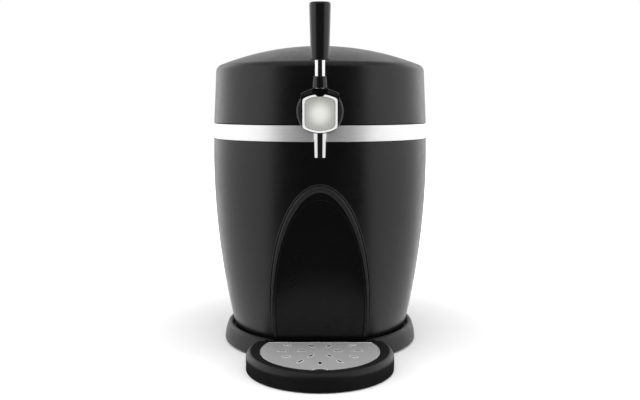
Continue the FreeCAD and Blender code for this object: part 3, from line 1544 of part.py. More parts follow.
make_base_ring()
make_base_plate()
make_base_screws()
make_rubber_feet()
make_drip_tray()
make_drip_grille()
make_body_shell()
make_recess_panel()
make_trim_band()
make_top_deck()
make_well_liner()
make_insulation_jacket()
make_rear_housing()
make_vent_grille()
make_cooling_stack()
make_heat_sink()
make_fan_frame()
make_fan_screws()
make_fan_rotor()
make_control_board()
make_power_inlet()
make_power_switch()
make_switch_rocker()
make_lid_shell()
make_lid_foam()
make_lid_liner()
make_lid_gasket()
make_hinge_arm()
make_hinge_bracket()
make_hinge_pin()
make_tap_saddle()
make_escutcheon()
make_tap_shank()
make_shank_nut()
make_shank_elbow()
make_beer_hose()
make_keg_coupler()
make_hose_clip()
make_tap_body()
make_pivot_pins()
make_lever_yoke()
make_lever()
make_plunger()
make_valve_spring()
make_spout()
make_faceplate()

doc.recompute()


# Checks and files

def check_model():
    faults = []
    for item in doc.Objects:
        if "Invalid" in item.State or "Error" in item.State:
            faults.append("%s: %s" % (item.Label, item.State))
    for piece in PIECES:
        shape = piece.Shape
        if shape.isNull() or not shape.isValid() or not shape.Solids:
            faults.append("%s: bad shape" % piece.Label)
    if faults:
        raise RuntimeError("; ".join(faults))


def write_pieces():
    os.makedirs("parts", exist_ok=True)
    for piece in PIECES:
        piece.Shape.exportStep("parts/%s.step" % piece.Label)
        box = piece.Shape.BoundBox
        print("%-20s %2d solids %10.1f mm3  x %7.2f %7.2f  y %7.2f %7.2f  z %7.2f %7.2f" % (
            piece.Label, len(piece.Shape.Solids), piece.Shape.Volume,
            box.XMin, box.XMax, box.YMin, box.YMax, box.ZMin, box.ZMax))


check_model()
write_pieces()
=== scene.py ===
import bpy
import bmesh
import json
import math
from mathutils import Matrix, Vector
from mathutils.bvhtree import BVHTree


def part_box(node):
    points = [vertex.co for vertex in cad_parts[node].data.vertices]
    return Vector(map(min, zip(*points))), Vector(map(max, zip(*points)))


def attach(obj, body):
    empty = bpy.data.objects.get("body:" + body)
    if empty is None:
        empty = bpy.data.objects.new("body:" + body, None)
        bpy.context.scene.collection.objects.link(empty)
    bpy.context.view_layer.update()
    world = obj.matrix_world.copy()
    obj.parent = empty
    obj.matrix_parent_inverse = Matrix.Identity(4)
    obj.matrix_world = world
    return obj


# Mini keg beer dispenser, in metres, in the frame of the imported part.
# X runs to the right, Y to the back and Z up. The tap is at the front, towards -Y.

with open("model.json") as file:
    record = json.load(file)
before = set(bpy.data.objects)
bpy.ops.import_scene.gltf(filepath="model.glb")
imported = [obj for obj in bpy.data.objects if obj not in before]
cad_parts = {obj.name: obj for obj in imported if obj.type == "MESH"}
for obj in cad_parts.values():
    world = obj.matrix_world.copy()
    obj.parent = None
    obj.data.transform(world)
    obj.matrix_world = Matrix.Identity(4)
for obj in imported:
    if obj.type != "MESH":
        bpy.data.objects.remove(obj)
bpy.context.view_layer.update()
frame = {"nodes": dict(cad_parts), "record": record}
CAD = frame["nodes"]
MM = 0.001
MICRON = 0.001 * MM
RIGHT = Vector((1, 0, 0))


def middle(node):
    low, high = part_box(node)
    return (low + high) / 2


def new_object(name, data):
    made = bpy.data.objects.new(name, data)
    bpy.context.scene.collection.objects.link(made)
    return made


AXIS_Y = middle("trim_band").y


# Shader nodes

NOISE_RANGE = (0.3, 0.7)
BEVEL_SAMPLES = 6
MATERIALS = {}


def new_material(name):
    """A new material, kept under its name; gives its node tree and its shader."""
    material = bpy.data.materials.new(name)
    material.use_nodes = True
    MATERIALS[name] = material
    tree = material.node_tree
    return tree, tree.nodes["Principled BSDF"]


def fill(tree, node, **inputs):
    """Sets inputs by name, or by number after a low dash. A socket is linked."""
    for name, given in inputs.items():
        key = int(name[1:]) if name[0] == "_" else name.replace("_", " ")
        if isinstance(given, bpy.types.NodeSocket):
            tree.links.new(given, node.inputs[key])
        else:
            node.inputs[key].default_value = given


def add(tree, kind, **inputs):
    made = tree.nodes.new("ShaderNode" + kind)
    fill(tree, made, **inputs)
    return made


def maths(tree, operation, first, second=0.0):
    made = add(tree, "Math", _0=first, _1=second)
    made.operation = operation
    return made.outputs["Value"]


def distance(tree, across, along):
    """How far a point is from the origin of two axes."""
    squares = [maths(tree, "MULTIPLY", given, given) for given in (across, along)]
    return maths(tree, "SQRT", maths(tree, "ADD", *squares))


def ranged(tree, given, from_range, to_range=(0.0, 1.0), curve="LINEAR"):
    """A value brought from one range to another."""
    made = add(tree, "MapRange", _0=given, _1=from_range[0], _2=from_range[1], _3=to_range[0], _4=to_range[1])
    made.interpolation_type = curve
    return made.outputs[0]


def mixed(tree, share, first, second):
    return add(tree, "Mix", _0=share, _2=first, _3=second).outputs[0]


def object_place(tree):
    return add(tree, "TexCoord").outputs["Object"]


def axes_of(tree, place):
    """The X, Y and Z of a place."""
    return tuple(add(tree, "SeparateXYZ", Vector=place).outputs)


def place_of(tree, scale=(1, 1, 1)):
    """The point's place on the object in metres, stretched along the axes."""
    return add(tree, "Mapping", Vector=object_place(tree), Scale=scale).outputs["Vector"]


def turned_place(tree, round_scale, out_scale, up_scale):
    """The point's angle round the barrel's axis, its radius and its height, each stretched."""
    x, y, z = axes_of(tree, object_place(tree))
    back = maths(tree, "SUBTRACT", y, AXIS_Y)
    return add(tree, "CombineXYZ",
               X=maths(tree, "MULTIPLY", maths(tree, "ARCTAN2", x, back), round_scale),
               Y=maths(tree, "MULTIPLY", distance(tree, x, back), out_scale),
               Z=maths(tree, "MULTIPLY", z, up_scale)).outputs["Vector"]


def noise(tree, where, scale, detail=3.0, roughness=0.55):
    return add(tree, "TexNoise", Vector=where, Scale=scale, Detail=detail, Roughness=roughness).outputs[0]


def blend_colours(tree, share, first, second, ends=NOISE_RANGE):
    """From one colour to another as a value goes from end to end."""
    ramp = add(tree, "ValToRGB", _0=share)
    for element, position, colour in zip(ramp.color_ramp.elements, ends, (first, second)):
        element.position = position
        element.color = (*colour, 1)
    return ramp.outputs["Color"]


def uneven_colour(tree, share, colour, vary):
    """A colour that is darker and paler by a share as a noise goes."""
    dark = [part * (1 - vary) for part in colour]
    pale = [min(1.0, part * (1 + vary)) for part in colour]
    return blend_colours(tree, share, dark, pale)


def uneven_roughness(tree, marks, roughness, vary):
    return ranged(tree, marks, NOISE_RANGE, (roughness * (1 - vary), roughness * (1 + vary)))


def bumped(tree, height, depth, **under):
    """A normal pushed by a height, its full depth in metres, over another normal if one is given."""
    return add(tree, "Bump", Height=height, Strength=1.0, Distance=depth, **under).outputs["Normal"]


def rounded(tree, radius):
    """A normal that turns softly over every edge, as a moulded or tumbled one does."""
    made = add(tree, "Bevel", Radius=radius)
    made.samples = BEVEL_SAMPLES
    return made.outputs["Normal"]


# Kinds of material, with their marks counted per metre

FLOW_MARKS, WEAR_MARKS = 14.0, 55.0
FLOW_TO_GRAIN_DEPTH = 4
PLASTIC_WEAR = 0.14
METAL_SMEARS = 30.0
METAL_WEAR = 0.12
METAL_EDGE = 0.4 * MM
OPEN_GRAIN_CLOUDS = 25.0
OPEN_GRAIN_GLOSS = 0.3


def moulded(name, colour, roughness, grain=0.6 * MM, depth=4 * MICRON, gloss=0.5, vary=0.12, edge=0.5 * MM):
    """Moulded plastic: fine spark-eroded grain, faint flow marks and handling wear."""
    tree, shader = new_material(name)
    where = place_of(tree)
    flow = noise(tree, where, FLOW_MARKS, detail=4.0)
    fine = noise(tree, where, 1 / grain, detail=2.0)
    wear = noise(tree, where, WEAR_MARKS, detail=5.0, roughness=0.7)
    waves = bumped(tree, flow, FLOW_TO_GRAIN_DEPTH * depth, Normal=rounded(tree, edge))
    fill(tree, shader,
         Base_Color=uneven_colour(tree, flow, colour, vary),
         Roughness=uneven_roughness(tree, wear, roughness, PLASTIC_WEAR),
         Specular_IOR_Level=gloss,
         Normal=bumped(tree, fine, depth, Normal=waves))


def metal(name, colour, roughness, brushing, depth=2 * MICRON, vary=0.06, metallic=1.0):
    """Metal with fine lines that run where its brushing says."""
    tree, shader = new_material(name)
    lines = noise(tree, brushing(tree), 1.0, detail=4.0, roughness=0.65)
    smears = noise(tree, place_of(tree), METAL_SMEARS, detail=4.0)
    fill(tree, shader,
         Base_Color=uneven_colour(tree, lines, colour, vary),
         Roughness=uneven_roughness(tree, smears, roughness, METAL_WEAR),
         Metallic=metallic,
         Normal=bumped(tree, lines, depth, Normal=rounded(tree, METAL_EDGE)))


def speckled(name, colour, roughness, grain, depth, vary):
    """Foam, rubber or ceramic: open grain with paler and darker clouds."""
    tree, shader = new_material(name)
    where = place_of(tree)
    cells = add(tree, "TexVoronoi", Vector=where, Scale=1 / grain).outputs["Distance"]
    clouds = noise(tree, where, OPEN_GRAIN_CLOUDS, detail=4.0)
    fill(tree, shader,
         Base_Color=uneven_colour(tree, clouds, colour, vary),
         Roughness=roughness,
         Specular_IOR_Level=OPEN_GRAIN_GLOSS,
         Normal=bumped(tree, cells, depth))


def band_brushing(tree):
    return turned_place(tree, round_scale=3.0, out_scale=400.0, up_scale=3200.0)


def drawn_brushing(tree):
    return turned_place(tree, round_scale=4.0, out_scale=40.0, up_scale=900.0)


def grille_brushing(tree):
    return place_of(tree, (30, 2600, 400))


def cast_brushing(tree):
    return place_of(tree, (500, 500, 500))


# Finishes

BLACK = (0.0036, 0.0036, 0.0039)
TRACK_SCALE = (260, 90, 1)
TRACK_GAP = 0.07
LACQUER, PALE_LACQUER, COPPER = (0.012, 0.13, 0.045, 1), (0.016, 0.15, 0.055, 1), (0.05, 0.27, 0.1, 1)
LACQUER_CLOUDS = 60.0
LACQUER_ROUGHNESS = (0.25, 0.4)
# The plate's pale middle is a painted highlight and its darker edges are painted shade.
PLATE_PAINTED_HIGHLIGHT, PLATE_PAINTED_SHADE = (0.93, 0.93, 0.88), (0.5, 0.5, 0.47)
PLATE_SHADE_FADE = (3 * MM, 17 * MM)
PLATE_GRAIN = (900, 900, 900)
PLATE_WOBBLE = 0.6 * MM


def outer_plastics():
    moulded("body_plastic", BLACK, 0.3)
    moulded("lid_plastic", (0.0042, 0.0042, 0.0045), 0.31)
    moulded("recess_plastic", (0.0036, 0.0036, 0.004), 0.3, gloss=0.35, vary=0.05)
    # Paler than the body's black: a painted highlight on the strips round the niche.
    moulded("rib_plastic", (0.02, 0.02, 0.021), 0.3, gloss=0.6, vary=0.05)
    moulded("base_plastic", (0.0065, 0.0065, 0.0068), 0.42, gloss=0.42)
    moulded("rear_plastic", (0.014, 0.014, 0.0145), 0.36, grain=1.1 * MM, depth=20 * MICRON)


def tap_plastics():
    moulded("tap_plastic", (0.005, 0.005, 0.0054), 0.2, depth=2 * MICRON, edge=1.2 * MM)
    moulded("disc_plastic", (0.03, 0.03, 0.031), 0.28, depth=2 * MICRON, edge=1.2 * MM)
    # A paler grey for the painted highlight along the hood's arched top edge.
    moulded("hood_painted_highlight", (0.09, 0.09, 0.09), 0.3)
    moulded("grip_plastic", (0.006, 0.006, 0.0062), 0.26, grain=0.8 * MM, depth=12 * MICRON)


def inner_plastics():
    moulded("inner_plastic", (0.03, 0.03, 0.032), 0.42, grain=0.9 * MM, depth=30 * MICRON)
    moulded("fan_plastic", (0.008, 0.008, 0.008), 0.34, grain=0.8 * MM, depth=20 * MICRON)
    moulded("fitting_plastic", (0.008, 0.008, 0.008), 0.45, grain=0.7 * MM, depth=30 * MICRON)
    moulded("rocker_plastic", (0.01, 0.01, 0.01), 0.22)
    moulded("hose_plastic", (0.62, 0.62, 0.58), 0.3, grain=2 * MM, vary=0.05)
    moulded("coupler_plastic", (0.02, 0.02, 0.022), 0.4)


def metals():
    metal("trim_metal", (0.95, 0.95, 0.95), 0.38, band_brushing, metallic=0.72)
    metal("grille_steel", (0.52, 0.52, 0.52), 0.42, grille_brushing, metallic=0.4)
    # Grille lips: low roughness for polish, and a near white colour that is a painted highlight.
    metal("lip_polish_painted_highlight", (0.95, 0.95, 0.95), 0.2, cast_brushing, vary=0.02, metallic=0.6)
    metal("rim_polish", (0.97, 0.97, 0.97), 0.25, cast_brushing, vary=0.01, metallic=0.15)
    metal("chrome_parts", (0.9, 0.9, 0.91), 0.07, cast_brushing, depth=0.8 * MICRON, vary=0.01)
    metal("tap_steel", (0.66, 0.65, 0.63), 0.22, cast_brushing)
    metal("screw_steel", (0.55, 0.55, 0.56), 0.3, cast_brushing)
    metal("well_aluminium", (0.7, 0.71, 0.72), 0.34, drawn_brushing)


def open_grained():
    speckled("foam", (0.8, 0.78, 0.7), 0.9, grain=1.6 * MM, depth=350 * MICRON, vary=0.06)
    speckled("dark_foam", (0.03, 0.03, 0.03), 0.9, grain=1.6 * MM, depth=300 * MICRON, vary=0.1)
    speckled("gasket_rubber", (0.012, 0.012, 0.012), 0.7, grain=0.8 * MM, depth=30 * MICRON, vary=0.2)
    speckled("feet_rubber", (0.02, 0.02, 0.02), 0.75, grain=1 * MM, depth=60 * MICRON, vary=0.2)
    speckled("ceramic", (0.82, 0.82, 0.8), 0.6, grain=0.7 * MM, depth=20 * MICRON, vary=0.04)
    speckled("mark_white", (0.7, 0.7, 0.7), 0.5, grain=0.4 * MM, depth=10 * MICRON, vary=0.05)


def board_lacquer():
    """Green lacquer over copper tracks."""
    tree, shader = new_material("circuit_board")
    tracks = add(tree, "TexBrick", Vector=place_of(tree, TRACK_SCALE), Scale=1.0, Mortar_Size=TRACK_GAP,
                 Color1=LACQUER, Color2=PALE_LACQUER, Mortar=COPPER)
    clouds = noise(tree, place_of(tree), LACQUER_CLOUDS)
    fill(tree, shader,
         Base_Color=tracks.outputs["Color"],
         Roughness=ranged(tree, clouds, NOISE_RANGE, LACQUER_ROUGHNESS))


def plate_painted_highlight():
    """Satin plate with a painted highlight in its pale middle, and painted shade that darkens it towards its
    rounded edges.
    """
    tree, shader = new_material("plate_satin")
    centre = middle("faceplate_panel")
    x, _, z = axes_of(tree, object_place(tree))
    across = maths(tree, "SUBTRACT", x, centre.x)
    up = maths(tree, "SUBTRACT", z, centre.z)
    grain = noise(tree, place_of(tree, PLATE_GRAIN), 1.0)
    wobble = ranged(tree, grain, NOISE_RANGE, (-PLATE_WOBBLE, PLATE_WOBBLE))
    # Painted shade grows with the distance from the plate's middle, its edge wobbled by the grain.
    shade_reach = maths(tree, "ADD", distance(tree, across, up), wobble)
    darker = ranged(tree, shade_reach, PLATE_SHADE_FADE, curve="SMOOTHSTEP")
    fill(tree, shader,
         Base_Color=blend_colours(tree, darker, PLATE_PAINTED_HIGHLIGHT, PLATE_PAINTED_SHADE, ends=(0, 1)),
         Metallic=0.15,
         Roughness=0.38,
         Normal=bumped(tree, grain, 3 * MICRON, Normal=rounded(tree, 0.8 * MM)))


def make_finishes():
    outer_plastics()
    tap_plastics()
    inner_plastics()
    metals()
    open_grained()
    board_lacquer()
    plate_painted_highlight()


# Painting and placing

OWN_FINISH = {"faceplate_rim": "rim_polish", "escutcheon": "disc_plastic", "lid_foam": "dark_foam"}


def paint(piece, finish):
    piece.data.materials.clear()
    piece.data.materials.append(MATERIALS[finish])


def paint_nodes():
    """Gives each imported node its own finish, or that of its slot."""
    for row in frame["record"]["subparts"]:
        node = row["node"]
        paint(CAD[node], OWN_FINISH.get(node, row["material_slot"]))


def placed(name, mesh, body, slot, finish):
    """Makes a mesh a smooth piece that rides on a body."""
    mesh.polygons.foreach_set("use_smooth", [True] * len(mesh.polygons))
    piece = new_object(name, mesh)
    paint(piece, finish)
    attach(piece, body)


def skinned(name, points, faces, body, slot, finish):
    """Makes a piece of points and faces, with its faces turned outwards."""
    mesh = bpy.data.meshes.new(name)
    mesh.from_pydata(points, [], faces)
    mesh.validate()
    shape = bmesh.new()
    shape.from_mesh(mesh)
    bmesh.ops.recalc_face_normals(shape, faces=shape.faces)
    shape.to_mesh(mesh)
    shape.free()
    placed(name, mesh, body, slot, finish)


def lofted(rings):
    """Points and faces of a skin over rings of equally many points, closed at both ends."""
    count = len(rings[0])
    points = [point for ring in rings for point in ring]
    last = len(points) - count
    faces = []
    for first in range(0, last, count):
        for at in range(count):
            after = (at + 1) % count
            faces.append((first + at, first + after, first + count + after, first + count + at))
    faces.append(tuple(range(count)))
    faces.append(tuple(range(last, last + count)))
    return points, faces


# Niche: a leaning flat cuts the barrel's wall in an arch

FOOT_RADIUS, FOOT_Z = 110.5 * MM, 16 * MM
RIM_RADIUS, RIM_Z = 136 * MM, 262 * MM
BARREL_BOW = 960 * MM
FLAT_BACK, FLAT_Z = 95 * MM, 21.7 * MM
FLAT_LEAN = math.radians(12)
FLAT_OUT = Vector((0, -math.cos(FLAT_LEAN), -math.sin(FLAT_LEAN)))
ARCH_FOOT_Z = 26 * MM
ARCH_STEPS = 96
ARCH_EXACTNESS = 0.01 * MM
STRIP_STEPS = 8
STRIP_SINK = 0.4 * MM
# A strip's height at its foot, as a share of its height at the top.
STRIP_FOOT_HEIGHT = 0.5
# Powers that shape how a strip widens and how full its section is.
STRIP_WIDENING, STRIP_ROUNDNESS = 1.5, 0.7


def barrel_radius(z):
    """Radius of the bowed barrel wall at a height."""
    foot, rim = Vector((FOOT_RADIUS, FOOT_Z)), Vector((RIM_RADIUS, RIM_Z))
    chord = rim - foot
    inward = Vector((-chord.y, chord.x)).normalized()
    centre = (foot + rim) / 2 + inward * math.sqrt(BARREL_BOW ** 2 - (chord.length / 2) ** 2)
    return centre.x + math.sqrt(BARREL_BOW ** 2 - (z - centre.y) ** 2)


def flat_depth(z):
    return FLAT_BACK + math.tan(FLAT_LEAN) * (z - FLAT_Z)


def arch_top():
    """The height at which the flat leaves the barrel's wall."""
    low, high = FLAT_Z, RIM_Z
    while high - low > ARCH_EXACTNESS:
        z = (low + high) / 2
        low, high = (z, high) if barrel_radius(z) > flat_depth(z) else (low, z)
    return low


def arch_places(top):
    """The arch from its left foot over the top to its right foot."""
    places = []
    for step in range(ARCH_STEPS + 1):
        turn = math.pi * step / ARCH_STEPS
        z = ARCH_FOOT_Z + (top - ARCH_FOOT_Z) * math.sin(turn)
        half = math.sqrt(max(0.0, barrel_radius(z) ** 2 - flat_depth(z) ** 2))
        side = -1 if turn < math.pi / 2 else 1
        places.append(Vector((side * half, AXIS_Y - flat_depth(z), z)))
    return places


def ways_inward(places):
    """The way along the flat into the niche from each point of the arch."""
    between_feet = (places[0] + places[-1]) / 2
    ways = []
    for step, place in enumerate(places):
        along = places[min(step + 1, ARCH_STEPS)] - places[max(step - 1, 0)]
        way = along.cross(FLAT_OUT).normalized()
        ways.append(way if way.dot(between_feet - place) > 0 else -way)
    return ways


def strip_ring(place, way, start, width, height):
    """A rounded section that stands on the flat, its underside sunk into it."""
    ring = []
    for step in range(STRIP_STEPS + 1):
        part = step / STRIP_STEPS
        lift = height * math.sin(math.pi * part) ** STRIP_ROUNDNESS
        ring.append(place + way * (start + width * part) + FLAT_OUT * lift)
    for reach in (start + width, start):
        ring.append(place + way * reach - FLAT_OUT * STRIP_SINK)
    return ring


def arch_strip(name, start, foot_width, top_width, top_height):
    """A strip that follows the arch, wider and higher towards the top."""
    top = arch_top()
    places = arch_places(top)
    highest = max(place.z for place in places)
    rings = []
    for place, way in zip(places, ways_inward(places)):
        share = (place.z - ARCH_FOOT_Z) / (highest - ARCH_FOOT_Z)
        width = foot_width + (top_width - foot_width) * share ** STRIP_WIDENING
        height = top_height * (STRIP_FOOT_HEIGHT + (1 - STRIP_FOOT_HEIGHT) * share)
        rings.append(strip_ring(place, way, start, width, height))
    # The strips are painted paler than the body, as a painted highlight along the arch.
    skinned(name, *lofted(rings), "housing", "body_plastic", "rib_plastic")


def make_niche():
    arch_strip("niche_rib", start=0.3 * MM, foot_width=1.1 * MM, top_width=1.3 * MM, top_height=0.9 * MM)
    arch_strip("niche_bevel", start=2.3 * MM, foot_width=1.6 * MM, top_width=8 * MM, top_height=1.5 * MM)


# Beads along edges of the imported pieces

BEAD_RESOLUTION = 3
LIP_RADIUS, HOOD_HIGHLIGHT_RADIUS = 0.45 * MM, 0.3 * MM
# How far a face's normal points along an axis, from 0 to 1.
LEVEL, UPRIGHT = 0.9, 0.3
FRONTAL, RISING = 0.8, 0.3


def meeting_edges(node, first, second):
    """Runs of edges where a face that passes the first test meets one that passes the second."""
    shape = bmesh.new()
    shape.from_mesh(CAD[node].data)
    bmesh.ops.remove_doubles(shape, verts=shape.verts, dist=MICRON)
    shape.normal_update()
    ends = {}
    for edge in shape.edges:
        if len(edge.link_faces) != 2:
            continue
        one, other = (face.normal for face in edge.link_faces)
        if (first(one) and second(other)) or (first(other) and second(one)):
            for near, far in (edge.verts, reversed(edge.verts)):
                ends.setdefault(near.index, []).append(far.index)
    places = {vert.index: vert.co.copy() for vert in shape.verts if vert.index in ends}
    shape.free()
    return chained(ends, places)


def chained(ends, places):
    """Runs of points, with whether each run closes on itself."""
    runs = []
    left = {at: list(others) for at, others in ends.items()}
    while any(left.values()):
        open_ends = [at for at, others in left.items() if len(others) == 1]
        start = open_ends[0] if open_ends else next(at for at, others in left.items() if others)
        run, at = [start], start
        while left[at]:
            after = left[at].pop()
            left[after].remove(at)
            run.append(after)
            at = after
        closed = run[0] == run[-1]
        runs.append(([places[at] for at in (run[:-1] if closed else run)], closed))
    return runs


def bead(name, runs, radius, body, slot, finish):
    """A round bead of one thickness along each run."""
    curve = bpy.data.curves.new(name, "CURVE")
    curve.dimensions = "3D"
    curve.bevel_depth = radius
    curve.bevel_resolution = BEAD_RESOLUTION
    curve.use_fill_caps = True
    for places, closed in runs:
        spline = curve.splines.new("POLY")
        spline.points.add(len(places) - 1)
        for point, place in zip(spline.points, places):
            point.co = (*place, 1)
        spline.use_cyclic_u = closed
    line = new_object(name, curve)
    mesh = bpy.data.meshes.new_from_object(line)
    bpy.data.objects.remove(line)
    placed(name, mesh, body, slot, finish)


def make_grille_lips():
    """Rolled lips round the slots and the rim of the drip grille, much paler than the grille as a painted
    highlight.
    """
    runs = meeting_edges("drip_grille", lambda way: way.z > LEVEL, lambda way: abs(way.z) < UPRIGHT)
    bead("grille_lips", runs, LIP_RADIUS, "drip_grille", "grille_steel", "lip_polish_painted_highlight")


def make_hood_highlight():
    """Paler bead along the arched top of the lever's hood: a painted highlight."""
    runs = meeting_edges("lever_yoke", lambda way: way.y < -FRONTAL, lambda way: way.z > RISING)
    bead("hood_painted_highlight", runs, HOOD_HIGHLIGHT_RADIUS, "lever", "tap_plastic", "hood_painted_highlight")


# Rear details

START_BEHIND = 1.0
SCREW_RADIUS, SCREW_HEIGHT = 3.4 * MM, 1.3 * MM
SCREW_CROSS_REACH, SCREW_CROSS_HALF, SCREW_CROSS_DEPTH = 2.1 * MM, 0.45 * MM, 1.0 * MM
SCREW_INSET_X, SCREW_INSET_Z = 13 * MM, 14 * MM
SCREW_RINGS, SCREW_SPOKES = 14, 48
# The power that shapes the dome, fuller as it grows.
SCREW_DOME = 2.6
SCREW_SINK = 0.05 * MM
FIRST_SCREW_TURN, SCREW_TURN_STEP = math.radians(25), math.radians(37)
MARK_RADIUS, MARK_REACH = 0.22 * MM, 1.7 * MM
RING_STEPS = 28


def hit_from_behind(node, x, z):
    """Where a line from behind first meets a node, and the way its surface faces there."""
    mesh = CAD[node].data
    corners = [vert.co for vert in mesh.vertices]
    surface = BVHTree.FromPolygons(corners, [face.vertices for face in mesh.polygons])
    place, way, _, _ = surface.ray_cast(Vector((x, START_BEHIND, z)), Vector((0, -1, 0)))
    return place, way


def screw_lift(reach, angle, turn):
    """Height of a domed head over its rim, with a cross taken out of it."""
    lift = SCREW_HEIGHT * math.sqrt(max(0.0, 1 - (reach / SCREW_RADIUS) ** SCREW_DOME))
    sides = (abs(reach * math.cos(angle - turn)), abs(reach * math.sin(angle - turn)))
    if min(sides) < SCREW_CROSS_HALF and max(sides) < SCREW_CROSS_REACH:
        lift -= SCREW_CROSS_DEPTH
    return lift


def screw_faces():
    """Faces of rings round a middle point, which comes after the rings."""
    middle_at = SCREW_RINGS * SCREW_SPOKES
    faces = []
    for spoke in range(SCREW_SPOKES):
        after = (spoke + 1) % SCREW_SPOKES
        faces.append((middle_at, spoke, after))
        for first in range(0, middle_at - SCREW_SPOKES, SCREW_SPOKES):
            second = first + SCREW_SPOKES
            faces.append((first + spoke, second + spoke, second + after, first + after))
    return faces


def screw_head(name, place, way, turn):
    """Domed head with a cross recess, its rim sunk just under the surface."""
    out = way.normalized()
    up = out.cross(RIGHT).normalized()
    points = []
    for ring in range(1, SCREW_RINGS + 1):
        reach = SCREW_RADIUS * ring / SCREW_RINGS
        for spoke in range(SCREW_SPOKES):
            angle = 2 * math.pi * spoke / SCREW_SPOKES
            x, y = reach * math.cos(angle), reach * math.sin(angle)
            lift = screw_lift(reach, angle, turn) - SCREW_SINK
            points.append(place + RIGHT * x + up * y + out * lift)
    points.append(place + out * (SCREW_HEIGHT - SCREW_CROSS_DEPTH))
    skinned(name, points, screw_faces(), "housing", "screw_steel", "screw_steel")


def make_rear_screws():
    low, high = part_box("rear_housing")
    at = 0
    for x in (low.x + SCREW_INSET_X, high.x - SCREW_INSET_X):
        for z in (low.z + SCREW_INSET_Z, high.z - SCREW_INSET_Z):
            place, way = hit_from_behind("rear_housing", x, z)
            screw_head("rear_screw_%d" % at, place, way, FIRST_SCREW_TURN + SCREW_TURN_STEP * at)
            at += 1


def ring_mark(place, up):
    turns = [2 * math.pi * step / RING_STEPS for step in range(RING_STEPS)]
    across = RIGHT * MARK_REACH
    along = up * MARK_REACH
    return [place + across * math.cos(turn) + along * math.sin(turn) for turn in turns], True


def bar_mark(place, up):
    return [place - up * MARK_REACH, place + up * MARK_REACH], False


def make_switch_marks():
    """A ring on the lower half of the rocker and a bar on the upper half."""
    low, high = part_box("switch_rocker")
    centre = middle("switch_rocker")
    quarter = (high.z - low.z) / 4
    for name, mark, above in (("mark_off", ring_mark, -quarter), ("mark_on", bar_mark, quarter)):
        place, way = hit_from_behind("switch_rocker", centre.x, centre.z + above)
        up = way.cross(RIGHT).normalized()
        bead(name, [mark(place, up)], MARK_RADIUS, "switch_rocker", "ceramic", "mark_white")


# Camera

# The lens and its sensor are in millimetres, and the dip is in radians below level.
LENS, SENSOR = 44.70, 36.0
NEAREST, FARTHEST = 0.05, 50.0
CAMERA_AWAY, CAMERA_HEIGHT = 1.0308, 0.3046
CAMERA_DIP = 0.12


def make_camera():
    data = bpy.data.cameras.new("camera")
    data.lens, data.sensor_width = LENS, SENSOR
    data.clip_start, data.clip_end = NEAREST, FARTHEST
    camera = new_object("camera", data)
    camera.location = (0.0, AXIS_Y - CAMERA_AWAY, CAMERA_HEIGHT)
    camera.rotation_euler = (math.pi / 2 - CAMERA_DIP, 0.0, 0.0)
    bpy.context.scene.camera = camera


# Studio

# Flag, strip and back fade as a level direction turns from the front, at 1, to the back, at -1.
FLAG_FADE, FLAG_LIGHTS = (0.57, 0.77), (1.1, 0.012)
STRIP_FADE, STRIP_LIGHTS = (-0.35, -0.7), (1.0, 1.5)
BACK_FADE, BACK_LIGHTS = (-0.82, -0.96), (1.0, 0.5)
# The zenith fades in as a direction climbs, from level at 0 to straight up at 1.
ZENITH_FADE, ZENITH_LIGHT = (0.45, 0.75), 0.5
EVEN_LIGHT, BACKDROP_LIGHT = 0.85, 1.0
TINY = 0.001
FLOOR_HALF = 6.0
FLOOR_WHITE = (0.87, 0.87, 0.87, 1)
# The floor glows more the further a point is from the barrel's axis.
FLOOR_FADE, FLOOR_GLOW = (0.2, 0.75), (0.03, 1.0)
FLOOR_MIRRORED = 0.8


def make_area(name, place, aim_z, size, watts):
    """A soft lamp that is aimed at the barrel's axis and isn't mirrored."""
    data = bpy.data.lights.new(name, "AREA")
    data.shape = "RECTANGLE"
    data.size, data.size_y = size
    data.energy = watts
    lamp = new_object(name, data)
    lamp.location = place
    lamp.visible_glossy = False
    aim = Vector((0.0, AXIS_Y, aim_z)) - Vector(place)
    lamp.rotation_euler = aim.to_track_quat("-Z", "Y").to_euler()


def make_lights():
    make_area("top_light", place=(0.0, -0.25, 1.6), aim_z=0.3, size=(1.3, 0.9), watts=13.0)
    for side in (-1, 1):
        make_area("side_light_%d" % (side + 1), place=(side * 1.3, -0.2, 0.7), aim_z=0.25,
                  size=(0.6, 1.2), watts=5.0)


def studio_strength(tree, x, y):
    """How bright a level direction is: dark in front, then white, a brighter strip, and dim behind."""
    length = maths(tree, "MAXIMUM", distance(tree, x, y), TINY)
    front = maths(tree, "DIVIDE", maths(tree, "MULTIPLY", y, -1.0), length)
    flag = ranged(tree, front, FLAG_FADE, FLAG_LIGHTS, "SMOOTHERSTEP")
    strip = ranged(tree, front, STRIP_FADE, STRIP_LIGHTS, "SMOOTHSTEP")
    back = ranged(tree, front, BACK_FADE, BACK_LIGHTS, "SMOOTHSTEP")
    return maths(tree, "MULTIPLY", flag, maths(tree, "MULTIPLY", strip, back))


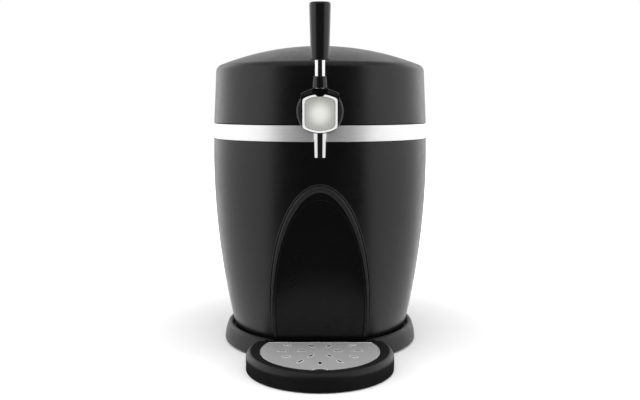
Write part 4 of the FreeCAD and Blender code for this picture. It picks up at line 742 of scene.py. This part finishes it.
def make_world():
    """Even white light, with a studio in mirrors only: a dark flag in front and paler sides."""
    world = bpy.data.worlds.new("studio")
    world.use_nodes = True
    bpy.context.scene.world = world
    tree = world.node_tree
    x, y, z = axes_of(tree, add(tree, "TexCoord").outputs["Generated"])
    mirrored = mixed(tree, ranged(tree, z, ZENITH_FADE), studio_strength(tree, x, y), ZENITH_LIGHT)
    path = add(tree, "LightPath").outputs
    sharp = maths(tree, "MAXIMUM", path["Is Glossy Ray"], path["Is Transmission Ray"])
    lighting = mixed(tree, sharp, EVEN_LIGHT, mirrored)
    strength = mixed(tree, path["Is Camera Ray"], lighting, BACKDROP_LIGHT)
    fill(tree, tree.nodes["Background"], Color=(1, 1, 1, 1), Strength=strength)


def floor_white():
    """White card: it keeps the soft shadow near the object and fades into the background."""
    tree, shader = new_material("floor_white")
    x, y, _ = axes_of(tree, add(tree, "NewGeometry").outputs["Position"])
    back = maths(tree, "SUBTRACT", y, AXIS_Y)
    glow = ranged(tree, distance(tree, x, back), FLOOR_FADE, FLOOR_GLOW, "SMOOTHSTEP")
    path = add(tree, "LightPath").outputs
    fill(tree, shader,
         Base_Color=FLOOR_WHITE,
         Roughness=0.6,
         Specular_IOR_Level=0.1,
         Emission_Color=(1, 1, 1, 1),
         Emission_Strength=maths(tree, "MULTIPLY", path["Is Camera Ray"], glow))
    strength = maths(tree, "MULTIPLY", studio_strength(tree, x, back), FLOOR_MIRRORED)
    mirrored = add(tree, "Emission", Strength=strength).outputs["Emission"]
    both = add(tree, "MixShader", _0=path["Is Glossy Ray"], _1=shader.outputs["BSDF"], _2=mirrored)
    fill(tree, tree.nodes["Material Output"], Surface=both.outputs["Shader"])


def make_floor():
    grid = bmesh.new()
    bmesh.ops.create_grid(grid, x_segments=2, y_segments=2, size=FLOOR_HALF)
    mesh = bpy.data.meshes.new("floor")
    grid.to_mesh(mesh)
    grid.free()
    floor = new_object("floor", mesh)
    floor_white()
    paint(floor, "floor_white")


make_finishes()
paint_nodes()
make_niche()
make_grille_lips()
make_hood_highlight()
make_rear_screws()
make_switch_marks()
make_camera()
make_world()
make_lights()
make_floor()
bpy.context.scene.view_settings.view_transform = "Standard"
